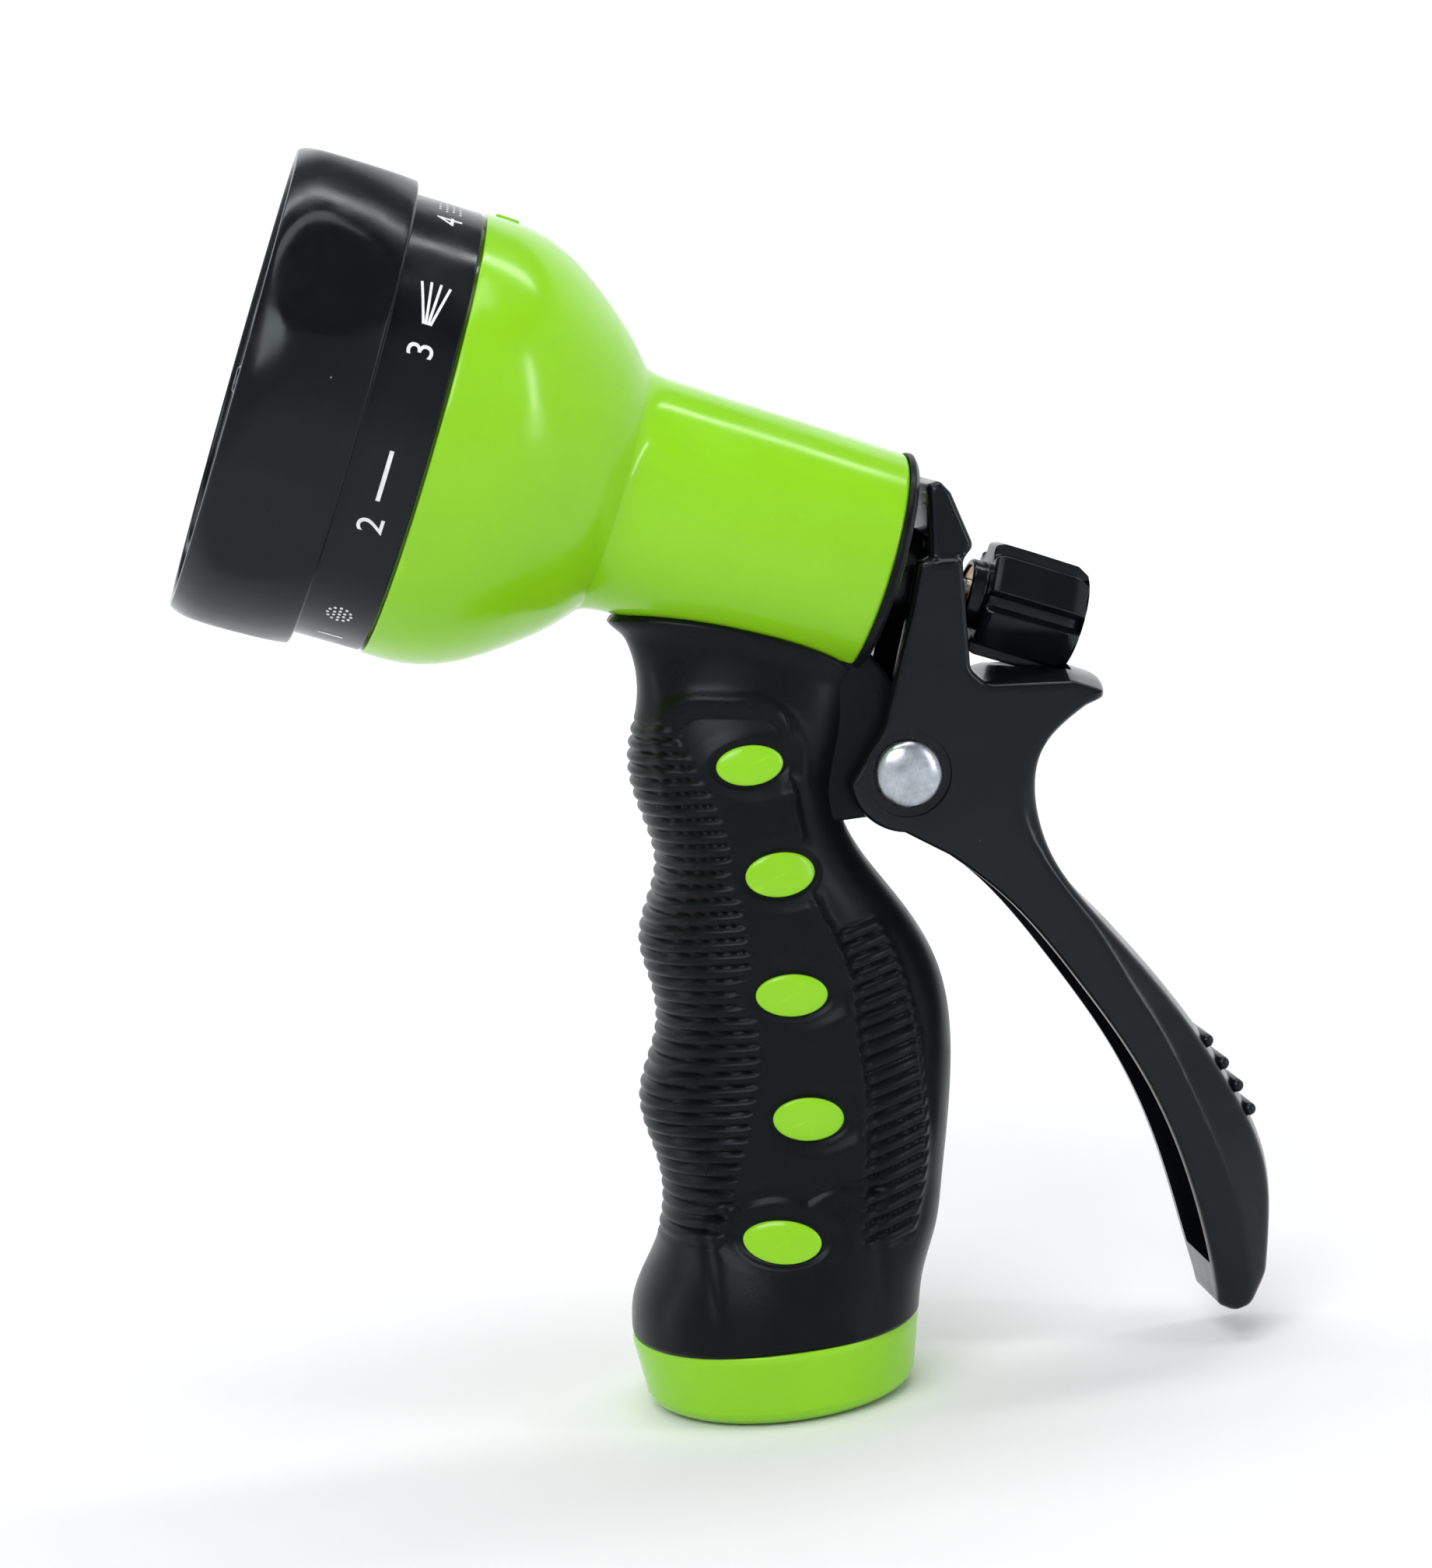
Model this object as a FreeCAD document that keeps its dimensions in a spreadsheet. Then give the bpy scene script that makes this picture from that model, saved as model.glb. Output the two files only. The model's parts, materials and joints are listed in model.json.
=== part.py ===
import FreeCAD, Part
import Sketcher
import math
import os
from FreeCAD import Placement, Rotation, Vector

# Rear-lever garden spray gun with a turning multi-pattern head.
# Row frame: millimetres, +Z up the handle, origin at the middle of the hose collar's bottom
# face, +X towards the lever, Y across the gun.  The head is turned about its own axis, which
# starts at the middle of the spray face and runs backwards: "height" along that axis counts
# back from the face.

doc = FreeCAD.newDocument("spray_gun")

DRIVING = {
    # head axis
    "face_x": -61.0, "face_z": 150.0, "head_tilt": 112.25,
    # dial shell
    "bezel_front_r": 32.3, "bezel_crown_r": 33.6, "bezel_back_r": 32.4, "bezel_mouth_r": 30.3,
    "crown_at": 5.5, "bezel_end": 16.9, "band_start": 17.6, "band_end": 26.5,
    "band_r": 30.8, "band_bore_r": 29.25, "flange_bore_r": 25.9, "flange_front": 16.4,
    "flange_back": 18.6, "scallop_depth": 1.1, "dial_positions": 8,
    # face plate and cap
    "face_front": 1.6, "face_back": 3.7, "face_r": 30.2, "cap_r": 6.0, "cap_front": 0.9,
    "shower_hole_r": 0.8, "shower_inner_ring": 11.0, "shower_outer_ring": 25.2,
    "shower_outer_count": 24, "jet_r": 1.6, "jet_ring": 18.5,
    # chamber disc
    "disc_front": 14.2, "disc_back": 16.35, "wall_ring_r": 9.6, "chamber_wall": 1.2,
    "port_circle_r": 14.0, "port_r": 2.6, "wall_front": 3.75,
    # outlet plate
    "hub_r": 6.0, "hub_front": 13.9, "plate_front": 19.0, "plate_back": 22.5, "plate_r": 26.9,
    "socket_r": 4.55, "socket_back": 26.5, "port_boss_r": 6.2, "port_boss_back": 28.0,
    "detent_circle_r": 20.0, "detent_hole_r": 1.75, "detent_boss_r": 2.9, "detent_boss_back": 26.0,
    "groove_depth": 1.7, "groove_width": 2.0, "groove_front": 0.7, "screw_r": 1.5,
    "port_spring_r": 3.6, "port_wire_r": 0.35, "port_spring_start": 21.9, "port_spring_end": 26.0,
    "detent_spring_r": 1.1, "detent_wire_r": 0.25, "detent_spring_start": 21.4,
    "detent_spring_end": 24.6,
    # bell
    "lip_r": 28.95, "bell_start": 26.9, "bell_r": 31.0, "shoulder_r": 28.7, "shoulder_at": 39.5,
    "neck_at": 54.6, "bell_wall": 2.3,
    # barrel
    "barrel_front_r": 16.6, "barrel_r": 15.9, "barrel_end": 92.0, "spigot_r": 13.3, "spigot_start": 49.6,
    "tail_r": 11.2, "tail_end": 94.3, "throat_r": 4.6, "chamber_start": 57.0,
    "chamber_r": 9.0, "gland_bore_start": 86.0, "gland_bore_r": 9.6,
    # valve
    "stem_r": 2.0, "stem_front": 57.0, "stem_back": 118.0, "poppet_r": 7.0,
    "poppet_front": 59.7, "poppet_back": 61.9, "cup_r": 6.6, "cup_back": 63.9,
    "gland_nut_r": 6.6, "gland_back": 97.2, "spring_r": 5.2, "spring_wire_r": 0.6,
    "slot_width": 5.2, "slot_low": 4.6, "slot_high": 3.8,
    "lever_swing": 15.0, "stem_travel": 5.66, "lever_relief": 0.3,
    # knob
    "knob_front": 107.5, "knob_back": 121.6, "knob_r": 8.4, "knob_end_r": 7.5,
    "collar_front": 105.3, "knob_collar_r": 4.8, "knob_flute_r": 9.0, "knob_flutes": 6,
    # lever and pivot
    "pivot_x": 24.4, "pivot_z": 87.1, "pin_r": 2.5, "pin_head_r": 4.7, "pin_head_height": 2.3,
    "lever_half_width": 12.0, "cheek_inner": 8.6, "lug_half_width": 6.7, "lug_r": 5.8, "lug_skin": 1.5,
    "boss_r": 8.2, "counterbore_r": 6.0, "counterbore_depth": 0.6, "arm_wall": 2.6,
    # handle
    "inlet_r": 12.06, "inlet_depth": 11.0, "seal_seat_r": 11.8, "seal_seat_back": 13.4,
    "foot_r": 18.6, "collar_r": 20.3,
    "collar_height": 10.3, "water_bore_r": 5.5, "grip_skin": 2.4, "overmold_top": 112.5,
}

RUNNING = 0.08      # radial clearance of a shaft that turns or slides
ASSEMBLED = 0.05    # radial clearance of two pieces fixed together
APART = 0.3         # face to face between pieces that move past each other


def make_sheet():
    sheet = doc.addObject("Spreadsheet::Sheet", "dims")
    for row, (alias, number) in enumerate(DRIVING.items(), start=1):
        sheet.set("A%d" % row, alias)
        sheet.set("B%d" % row, str(number))
        sheet.setAlias("B%d" % row, alias)
    doc.recompute()
    return sheet


sheet = make_sheet()


def size(alias):
    return float(getattr(sheet, alias))


def expression_value(text):
    found = sheet.evalExpression(text)
    return float(getattr(found, "Value", found))


# ---------------------------------------------------------------- places

HEAD = Placement(Vector(size("face_x"), 0, size("face_z")),
                 Rotation(Vector(0, 1, 0), size("head_tilt")))
PIVOT = Vector(size("pivot_x"), 0, size("pivot_z"))
HOME = Placement()


def on_head(radius=0.0, height=0.0, angle=0.0):
    """A placement on the head axis, turned so that its local +X points out along the radius."""
    turned = Rotation(Vector(0, 0, 1), angle)
    return HEAD.multiply(Placement(turned.multVec(Vector(radius, 0, height)), turned))


def across_at(point, half_width):
    """A placement whose local +Z runs along row +Y, starting half a width to the left."""
    return Placement(Vector(point.x, -half_width, point.z), Rotation(Vector(1, 0, 0), -90))


# ---------------------------------------------------------------- building blocks

def plane_of(body, role):
    for feature in body.Origin.OriginFeatures:
        if feature.Role == role:
            return feature
    raise ValueError("no plane " + role)


def new_sketch(body, role, name):
    sketch = body.newObject("Sketcher::SketchObject", name)
    sketch.AttachmentSupport = (plane_of(body, role), [""])
    sketch.MapMode = "FlatFace"
    return sketch


def arc_between(start, end, radius):
    """The short arc from start to end; a positive radius bulges to the right of the way along."""
    chord = end - start
    half = chord.Length / 2
    reach = math.sqrt(radius * radius - half * half)
    right = Vector(chord.y, -chord.x, 0).normalize()
    sagitta = abs(radius) - reach
    middle = (start + end) / 2 + right * math.copysign(sagitta, radius)
    return Part.Arc(start, middle, end)


def pin_vertex(sketch, index, position, corner, where):
    """Tie one corner of a profile to the sheet, or to an axis where its coordinate is zero."""
    for kind, axis, text, coordinate in (("DistanceX", -2, corner[0], where.x),
                                         ("DistanceY", -1, corner[1], where.y)):
        if abs(coordinate) < 1e-9:
            sketch.addConstraint(Sketcher.Constraint("PointOnObject", index, position, axis))
            continue
        made = sketch.addConstraint(
            Sketcher.Constraint(kind, -1, 1, index, position, coordinate))
        sketch.setExpression("Constraints[%d]" % made, text)


def draw_profile(sketch, corners):
    """A closed profile.  Each corner is (across, up[, radius of the arc to the next corner])."""
    places = [Vector(expression_value(c[0]), expression_value(c[1]), 0) for c in corners]
    ends = []
    for index, corner in enumerate(corners):
        start = places[index]
        end = places[(index + 1) % len(corners)]
        if len(corner) == 3:
            radius = expression_value(corner[2])
            sketch.addGeometry(arc_between(start, end, radius), False)
            ends.append((1, 2) if radius > 0 else (2, 1))
            made = sketch.addConstraint(
                Sketcher.Constraint("Radius", index, abs(radius)))
            sketch.setExpression("Constraints[%d]" % made, "abs(%s)" % corner[2])
        else:
            sketch.addGeometry(Part.LineSegment(start, end), False)
            ends.append((1, 2))
    for index, corner in enumerate(corners):
        before = (index - 1) % len(corners)
        sketch.addConstraint(Sketcher.Constraint(
            "Coincident", before, ends[before][1], index, ends[index][0]))
        pin_vertex(sketch, index, ends[index][0], corner, places[index])


def turned(label, corners, placement=HEAD):
    """A body turned about its own Z axis from a profile of (radius, height) corners."""
    body = doc.addObject("PartDesign::Body", label)
    body.Label = label
    sketch = new_sketch(body, "XZ_Plane", label + "_profile")
    draw_profile(sketch, corners)
    revolution = body.newObject("PartDesign::Revolution", label + "_turned")
    revolution.Profile = sketch
    revolution.ReferenceAxis = (sketch, ["V_Axis"])
    revolution.Angle = 360
    sketch.Visibility = False
    doc.recompute()
    body.Placement = placement
    return body


def circle_pocket(body, name, radius, centre):
    """A round hole along the body's Z axis, right through, at centre on its local X axis."""
    before = body.Shape.Volume
    sketch = new_sketch(body, "XY_Plane", name + "_circle")
    sketch.addGeometry(Part.Circle(Vector(expression_value(centre), 0, 0), Vector(0, 0, 1),
                                   expression_value(radius)), False)
    made = sketch.addConstraint(Sketcher.Constraint("Radius", 0, expression_value(radius)))
    sketch.setExpression("Constraints[%d]" % made, radius)
    sketch.addConstraint(Sketcher.Constraint("PointOnObject", 0, 3, -1))
    made = sketch.addConstraint(
        Sketcher.Constraint("DistanceX", -1, 1, 0, 3, expression_value(centre)))
    sketch.setExpression("Constraints[%d]" % made, centre)
    pocket = body.newObject("PartDesign::Pocket", name)
    pocket.Profile = sketch
    pocket.Type = "ThroughAll"
    pocket.Reversed = True
    doc.recompute()
    if body.Shape.Volume > before - 0.01:
        raise ValueError(name + " cuts nothing")
    return pocket


def polar(body, name, feature, count):
    pattern = body.newObject("PartDesign::PolarPattern", name)
    pattern.Originals = [feature]
    pattern.Axis = (plane_of(body, "Z_Axis"), [""])
    pattern.Angle = 360
    pattern.setExpression("Occurrences", count)
    body.Tip = pattern
    doc.recompute()
    return pattern


def cylinder(name, radius, height, placement):
    made = doc.addObject("Part::Cylinder", name)
    made.setExpression("Radius", radius)
    made.setExpression("Height", height)
    made.Placement = placement
    return made


def torus(name, ring, wire, placement):
    made = doc.addObject("Part::Torus", name)
    made.setExpression("Radius1", ring)
    made.setExpression("Radius2", wire)
    made.Placement = placement
    made.Label = name
    return made


def fused(name, pieces):
    made = doc.addObject("Part::MultiFuse", name)
    made.Shapes = pieces
    made.Refine = False
    return made


def cut(name, base, tools):
    made = doc.addObject("Part::Cut", name)
    made.Base = base
    made.Tool = tools[0] if len(tools) == 1 else fused(name + "_tools", tools)
    made.Refine = False
    return made


def common(name, base, tool):
    made = doc.addObject("Part::Common", name)
    made.Base = base
    made.Tool = tool
    return made


def shaped(name, shape, placement=HOME):
    made = doc.addObject("Part::Feature", name)
    made.Shape = shape
    made.Placement = placement
    return made


def smooth_edge(points):
    curve = Part.BSplineCurve()
    curve.interpolate([Vector(x, 0, z) for x, z in points])
    return curve.toShape()


def straight_edges(points):
    corners = [Vector(x, 0, z) for x, z in points]
    return [Part.makeLine(a, b) for a, b in zip(corners, corners[1:])]


def slab(edges, half_width):
    """A plate across the gun: a closed outline in the X-Z plane, half a width to each side."""
    wire = Part.Wire(Part.__sortEdges__(edges))
    face = Part.Face(wire)
    face.translate(Vector(0, -half_width, 0))
    return face.extrude(Vector(0, 2 * half_width, 0))


def polygon_slab(points, half_width):
    return slab(straight_edges(points + points[:1]), half_width)


def coil(mean_radius, wire_radius, length, turns):
    """A compression spring, standing on its own Z axis, swept in half turns."""
    helix = Part.makeHelix(length / turns, length, mean_radius).Edges[0]
    first, last = helix.ParameterRange
    spans = 2 * turns
    path = helix.split([first + (last - first) * number / spans for number in range(1, spans)])
    section = Part.Wire(Part.makeCircle(wire_radius, Vector(mean_radius, 0, 0), Vector(0, 1, 0)))
    return path.makePipeShell([section], True, True)


# ---------------------------------------------------------------- dial

def make_dial_shell():
    body = turned("dial_shell_round", [
        ("dims.bezel_mouth_r", "0"),
        ("dims.bezel_front_r", "0", "9"),
        ("dims.bezel_crown_r", "dims.crown_at", "60"),
        ("dims.bezel_back_r", "dims.bezel_end - 0.8", "0.9"),
        ("dims.bezel_back_r - 0.8", "dims.bezel_end"),
        ("dims.band_r", "dims.bezel_end"),
        ("dims.band_r", "dims.band_end"),
        ("dims.band_bore_r", "dims.band_end"),
        ("dims.band_bore_r", "dims.flange_back"),
        ("dims.flange_bore_r", "dims.flange_back"),
        ("dims.flange_bore_r", "dims.flange_front"),
        ("dims.bezel_mouth_r", "dims.flange_front"),
    ])
    # a hexagon trims the crown to six shallow finger flats, and leaves the band round
    reach = size("bezel_crown_r") - size("scallop_depth")
    corner = reach / math.cos(math.pi / 6)
    ring = [Vector(corner * math.cos(math.radians(a)), corner * math.sin(math.radians(a)), -1)
            for a in range(30, 391, 60)]
    hexagon = Part.Face(Part.makePolygon(ring)).extrude(Vector(0, 0, size("bezel_end") + 1))
    skirt = Part.makeCylinder(size("band_r") + 1, size("band_end"), Vector(0, 0, 0))
    keep = shaped("dial_flats", hexagon.fuse(skirt), HEAD)
    shell = common("dial_shell", body, keep)
    shell.Label = "dial_shell"
    return shell


def make_face_plate():
    body = turned("face_plate", [
        ("dims.cap_r", "dims.face_front"),
        ("dims.face_r", "dims.face_front"),
        ("dims.face_r", "dims.face_back"),
        ("dims.cap_r", "dims.face_back"),
    ])
    # rings of outlets round the face: fine ones inside and outside, a jet for each position
    for name, radius, ring, count in (
            ("inner_holes", "dims.shower_hole_r", "dims.shower_inner_ring", "dims.dial_positions"),
            ("jets", "dims.jet_r", "dims.jet_ring", "dims.dial_positions"),
            ("outer_holes", "dims.shower_hole_r", "dims.shower_outer_ring",
             "dims.shower_outer_count")):
        hole = circle_pocket(body, name, radius, ring)
        polar(body, name + "_ring", hole, count)
    return body


def make_centre_cap():
    return turned("centre_cap", [
        ("0", "dims.cap_front"),
        ("dims.cap_r - 1", "dims.cap_front", "1"),
        ("dims.cap_r - 0.05", "dims.cap_front + 1"),
        ("dims.cap_r - 0.05", "dims.face_back"),
        ("0", "dims.face_back"),
    ])


def make_chamber_disc():
    body = turned("chamber_disc_round", [
        ("dims.hub_r + %s" % RUNNING, "dims.disc_front"),
        ("dims.wall_ring_r", "dims.disc_front"),
        ("dims.wall_ring_r", "dims.wall_front"),
        ("dims.wall_ring_r + dims.chamber_wall", "dims.wall_front"),
        ("dims.wall_ring_r + dims.chamber_wall", "dims.disc_front"),
        ("dims.face_r", "dims.disc_front"),
        ("dims.face_r", "dims.disc_back"),
        ("dims.hub_r + %s" % RUNNING, "dims.disc_back"),
    ])
    port = circle_pocket(body, "disc_port", "dims.port_r", "dims.port_circle_r")
    polar(body, "disc_ports", port, "dims.dial_positions")
    walls = []
    step = 360 / size("dial_positions")
    inner = size("wall_ring_r") + size("chamber_wall") / 2
    for number in range(int(size("dial_positions"))):
        wall = doc.addObject("Part::Box", "chamber_wall_%d" % number)
        wall.setExpression("Length", "dims.face_r - dims.wall_ring_r - dims.chamber_wall")
        wall.setExpression("Width", "dims.chamber_wall")
        wall.setExpression("Height", "dims.disc_front - dims.wall_front + 0.5")
        angle = step * (number + 0.5)
        spot = on_head(inner, size("wall_front"), angle)
        wall.Placement = spot.multiply(Placement(Vector(0, -size("chamber_wall") / 2, 0),
                                                 Rotation()))
        walls.append(wall)
    disc = fused("chamber_disc", [body] + walls)
    disc.Label = "chamber_disc"
    return disc


# ---------------------------------------------------------------- outlet plate and its small parts

def make_outlet_plate():
    plate = turned("outlet_plate_round", [
        ("0", "dims.plate_back + 2"),
        ("0", "dims.plate_front + 2"),
        ("dims.screw_r + %s" % ASSEMBLED, "dims.plate_front + 2"),
        ("dims.screw_r + %s" % ASSEMBLED, "dims.hub_front"),
        ("dims.hub_r", "dims.hub_front"),
        ("dims.hub_r", "dims.plate_front"),
        ("dims.plate_r", "dims.plate_front"),
        ("dims.plate_r", "dims.plate_front + dims.groove_front"),
        ("dims.plate_r - dims.groove_depth", "dims.plate_front + dims.groove_front"),
        ("dims.plate_r - dims.groove_depth",
         "dims.plate_front + dims.groove_front + dims.groove_width"),
        ("dims.plate_r", "dims.plate_front + dims.groove_front + dims.groove_width"),
        ("dims.plate_r", "dims.plate_back"),
        ("dims.hub_r", "dims.plate_back"),
        ("dims.hub_r", "dims.plate_back + 2"),
    ])
    port = on_head(size("port_circle_r"), size("plate_front") + 1)
    detent = on_head(size("detent_circle_r"), size("plate_front") + 1, 180)
    bosses = [
        cylinder("port_boss", "dims.port_boss_r",
                 "dims.port_boss_back - dims.plate_front - 1", port),
        cylinder("detent_boss", "dims.detent_boss_r",
                 "dims.detent_boss_back - dims.plate_front - 1", detent),
    ]
    front = size("plate_front") - 1
    holes = [
        cylinder("port_socket", "dims.socket_r", "dims.socket_back - dims.plate_front + 1",
                 on_head(size("port_circle_r"), front)),
        cylinder("port_way", "dims.port_r", "20", on_head(size("port_circle_r"), front)),
        cylinder("detent_hole", "dims.detent_hole_r",
                 "dims.detent_boss_back - dims.plate_front",
                 on_head(size("detent_circle_r"), front, 180)),
    ]
    made = cut("outlet_plate", fused("outlet_plate_bossed", [plate] + bosses), holes)
    made.Label = "outlet_plate"
    return made


def small_spring(kind, turns, place):
    """The spring behind the port seal or the detent pin, between its own start and end."""
    start = size(kind + "_spring_start")
    spring = coil(size(kind + "_spring_r"), size(kind + "_wire_r"),
                  size(kind + "_spring_end") - start, turns)
    return shaped(kind + "_spring", spring, place.multiply(Placement(Vector(0, 0, start),
                                                                     Rotation())))


def make_plate_small_parts():
    socket_clear = "dims.socket_r - 2 * %s" % ASSEMBLED
    hole_clear = "dims.detent_hole_r - 2 * %s" % ASSEMBLED
    port_place = on_head(size("port_circle_r"))
    detent_place = on_head(size("detent_circle_r"), 0, 180)
    seal_back = "dims.port_spring_start - dims.port_wire_r - 0.15"
    pin_back = "dims.detent_spring_start - dims.detent_wire_r - 0.15"
    seal = turned("port_seal", [
        ("dims.port_r", "dims.disc_back + %s" % APART),
        (socket_clear, "dims.disc_back + %s" % APART),
        (socket_clear, seal_back),
        ("dims.port_r", seal_back),
    ], port_place)
    pin = turned("detent_pin", [
        ("0", "dims.disc_back + %s" % APART, "2.1"),
        (hole_clear, "dims.disc_back + 1.4"),
        (hole_clear, pin_back),
        ("0", pin_back),
    ], detent_place)
    groove_middle = size("groove_front") + size("groove_width") / 2
    oring = torus("plate_oring", "dims.plate_r - dims.groove_depth / 2",
                  "dims.groove_depth / 2 - %s" % (1.4 * ASSEMBLED),
                  on_head(0, size("plate_front") + groove_middle))
    return [seal, pin, oring, small_spring("port", 4, port_place),
            small_spring("detent", 5, detent_place)]


def make_dial_fastening():
    washer = turned("dial_washer", [
        ("1.6", "dims.hub_front - 0.85"),
        ("8.4", "dims.hub_front - 0.85"),
        ("8.4", "dims.hub_front - 0.05"),
        ("1.6", "dims.hub_front - 0.05"),
    ])
    screw = turned("dial_screw_round", [
        ("0", "dims.hub_front - 3.2"),
        ("2.2", "dims.hub_front - 3.2", "4.5"),
        ("3.6", "dims.hub_front - 2.1"),
        ("3.6", "dims.hub_front - 0.9"),
        ("dims.screw_r", "dims.hub_front - 0.9"),
        ("dims.screw_r", "dims.plate_front + 0.8"),
        ("0.4", "dims.plate_front + 1.8"),
        ("0", "dims.plate_front + 1.8"),
    ])
    slots = []
    for number, angle in enumerate((0, 90)):
        slot = doc.addObject("Part::Box", "screw_slot_%d" % number)
        slot.Length = 4
        slot.Width = 0.9
        slot.Height = 1.6
        spot = on_head(0, size("hub_front") - 3.4, angle)
        slot.Placement = spot.multiply(Placement(Vector(-2, -0.45, 0), Rotation()))
        slots.append(slot)
    made = cut("dial_screw", screw, slots)
    made.Label = "dial_screw"
    return [washer, made]


# ---------------------------------------------------------------- bell

def make_bell_housing():
    return turned("bell_housing", [
        ("dims.lip_r", "dims.plate_front"),
        ("dims.lip_r", "dims.bell_start"),
        ("dims.bell_r", "dims.bell_start", "48"),
        ("dims.shoulder_r", "dims.shoulder_at", "22"),
        ("dims.barrel_front_r + 4.6", "dims.neck_at - 4.6"),
        ("dims.barrel_front_r", "dims.neck_at - 0.1"),
        ("dims.spigot_r + 0.05", "dims.neck_at - 0.1"),
        ("dims.spigot_r + 0.05", "dims.spigot_start - 0.1"),
        ("dims.throat_r + 3", "dims.spigot_start - 0.1"),
        ("dims.shoulder_r - 4.2", "dims.shoulder_at - 0.5", "-22"),
        ("dims.bell_r - 3.4", "dims.bell_start + 1.2"),
        ("dims.plate_r + 0.05", "dims.plate_back + 0.1"),
        ("dims.plate_r + 0.05", "dims.plate_front"),
    ])


# ---------------------------------------------------------------- valve

def make_valve_seat():
    return turned("valve_seat", [
        ("dims.throat_r", "dims.chamber_start + 0.05"),
        ("dims.chamber_r - 0.05", "dims.chamber_start + 0.05"),
        ("dims.chamber_r - 0.05", "dims.chamber_start + 2.4"),
        ("dims.throat_r + 1.6", "dims.chamber_start + 2.4"),
        ("dims.throat_r", "dims.chamber_start + 1.9"),
    ])


def make_valve_stem():
    return turned("valve_stem", [
        ("0", "dims.stem_front"),
        ("dims.stem_r - 0.5", "dims.stem_front"),
        ("dims.stem_r", "dims.stem_front + 0.5"),
        ("dims.stem_r", "dims.poppet_back"),
        ("dims.cup_r", "dims.poppet_back"),
        ("dims.cup_r", "dims.cup_back"),
        ("dims.stem_r", "dims.cup_back"),
        ("dims.stem_r", "dims.stem_back - 0.5"),
        ("dims.stem_r - 0.5", "dims.stem_back"),
        ("0", "dims.stem_back"),
    ])


def make_poppet():
    washer = turned("poppet_washer", [
        ("dims.stem_r + 0.05", "dims.poppet_front"),
        ("dims.poppet_r", "dims.poppet_front"),
        ("dims.poppet_r", "dims.poppet_back - 0.05"),
        ("dims.stem_r + 0.05", "dims.poppet_back - 0.05"),
    ])
    nut = turned("poppet_nut", [
        ("dims.stem_r + 0.05", "dims.stem_front + 0.4"),
        ("dims.stem_r + 1", "dims.stem_front + 0.4"),
        ("dims.stem_r + 1.5", "dims.stem_front + 0.9"),
        ("dims.stem_r + 1.5", "dims.poppet_front - 0.05"),
        ("dims.stem_r + 0.05", "dims.poppet_front - 0.05"),
    ])
    return [washer, nut]


def make_return_spring():
    start = size("cup_back") + size("spring_wire_r") + 0.1
    end = size("gland_bore_start") - 1.6 - size("spring_wire_r")
    spring = coil(size("spring_r"), size("spring_wire_r"), end - start, 7)
    return shaped("return_spring", spring, on_head(0, start))


def make_gland():
    bore = "dims.stem_r + %s" % RUNNING
    washer = turned("gland_washer", [
        ("dims.stem_r + 0.6", "dims.gland_bore_start - 1.2"),
        ("dims.chamber_r - 0.1", "dims.gland_bore_start - 1.2"),
        ("dims.chamber_r - 0.1", "dims.gland_bore_start - 0.05"),
        ("dims.stem_r + 0.6", "dims.gland_bore_start - 0.05"),
    ])
    nut = turned("gland_nut", [
        (bore, "dims.gland_bore_start + 2.4"),
        ("dims.stem_r + 2.1", "dims.gland_bore_start + 2.4"),
        ("dims.stem_r + 2.1", "dims.gland_bore_start"),
        ("dims.gland_bore_r - 0.05", "dims.gland_bore_start"),
        ("dims.gland_bore_r - 0.05", "dims.tail_end + 0.1"),
        ("dims.gland_nut_r", "dims.tail_end + 0.1"),
        ("dims.gland_nut_r", "dims.gland_back - 0.5"),
        ("dims.gland_nut_r - 0.5", "dims.gland_back"),
        (bore, "dims.gland_back"),
    ])
    oring = torus("gland_oring", "dims.stem_r + 1.08", "0.95",
                  on_head(0, size("gland_bore_start") + 1.15))
    return [washer, nut, oring]


def make_flow_knob():
    body = turned("flow_knob_round", [
        ("dims.stem_r + 1.85", "dims.collar_front"),
        ("dims.knob_collar_r", "dims.collar_front"),
        ("dims.knob_collar_r", "dims.knob_front"),
        ("dims.knob_r - 0.8", "dims.knob_front", "1"),
        ("dims.knob_r", "dims.knob_front + 0.8"),
        ("dims.knob_end_r + 0.4", "dims.knob_back - 1.4", "1.6"),
        ("dims.knob_end_r - 1.2", "dims.knob_back"),
        ("0", "dims.knob_back"),
        ("0", "dims.stem_back + 0.2"),
        ("dims.stem_r + 1.85", "dims.stem_back + 0.2"),
    ])
    flutes = []
    count = int(size("knob_flutes"))
    away = size("knob_r") + size("knob_flute_r") - 0.9
    for number in range(count):
        flutes.append(cylinder("knob_flute_%d" % number, "dims.knob_flute_r",
                               "dims.knob_back - dims.knob_front + 2",
                               on_head(away, size("knob_front") - 1, number * 360 / count)))
    made = cut("flow_knob", body, flutes)
    made.Label = "flow_knob"
    insert = turned("knob_insert", [
        ("dims.stem_r + 0.05", "dims.collar_front + 0.3"),
        ("dims.stem_r + 1.8", "dims.collar_front + 0.3"),
        ("dims.stem_r + 1.8", "dims.stem_back"),
        ("dims.stem_r + 0.05", "dims.stem_back"),
    ])
    return [made, insert]


# ---------------------------------------------------------------- handle

# level, front edge, back edge, half width: the grip's outline at that height
GRIP_LEVELS = [
    (9.8, -20.2, 20.2, 20.1),
    (16.0, -19.4, 21.6, 18.6),
    (22.0, -16.2, 24.0, 17.0),
    (28.0, -14.0, 25.4, 15.9),
    (36.0, -14.2, 27.0, 15.5),
    (44.5, -15.6, 28.3, 15.6),
    (53.0, -12.6, 28.6, 15.6),
    (60.0, -12.4, 27.3, 15.4),
    (67.0, -13.4, 24.2, 15.0),
    (76.5, -10.2, 18.6, 14.2),
    (85.0, -11.6, 17.0, 13.3),
    (92.6, -12.4, 18.6, 12.4),
    (99.0, -10.8, 20.6, 11.1),
    (106.0, -10.6, 21.6, 9.4),
    (114.0, -13.5, 22.0, 8.6),
]


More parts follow.
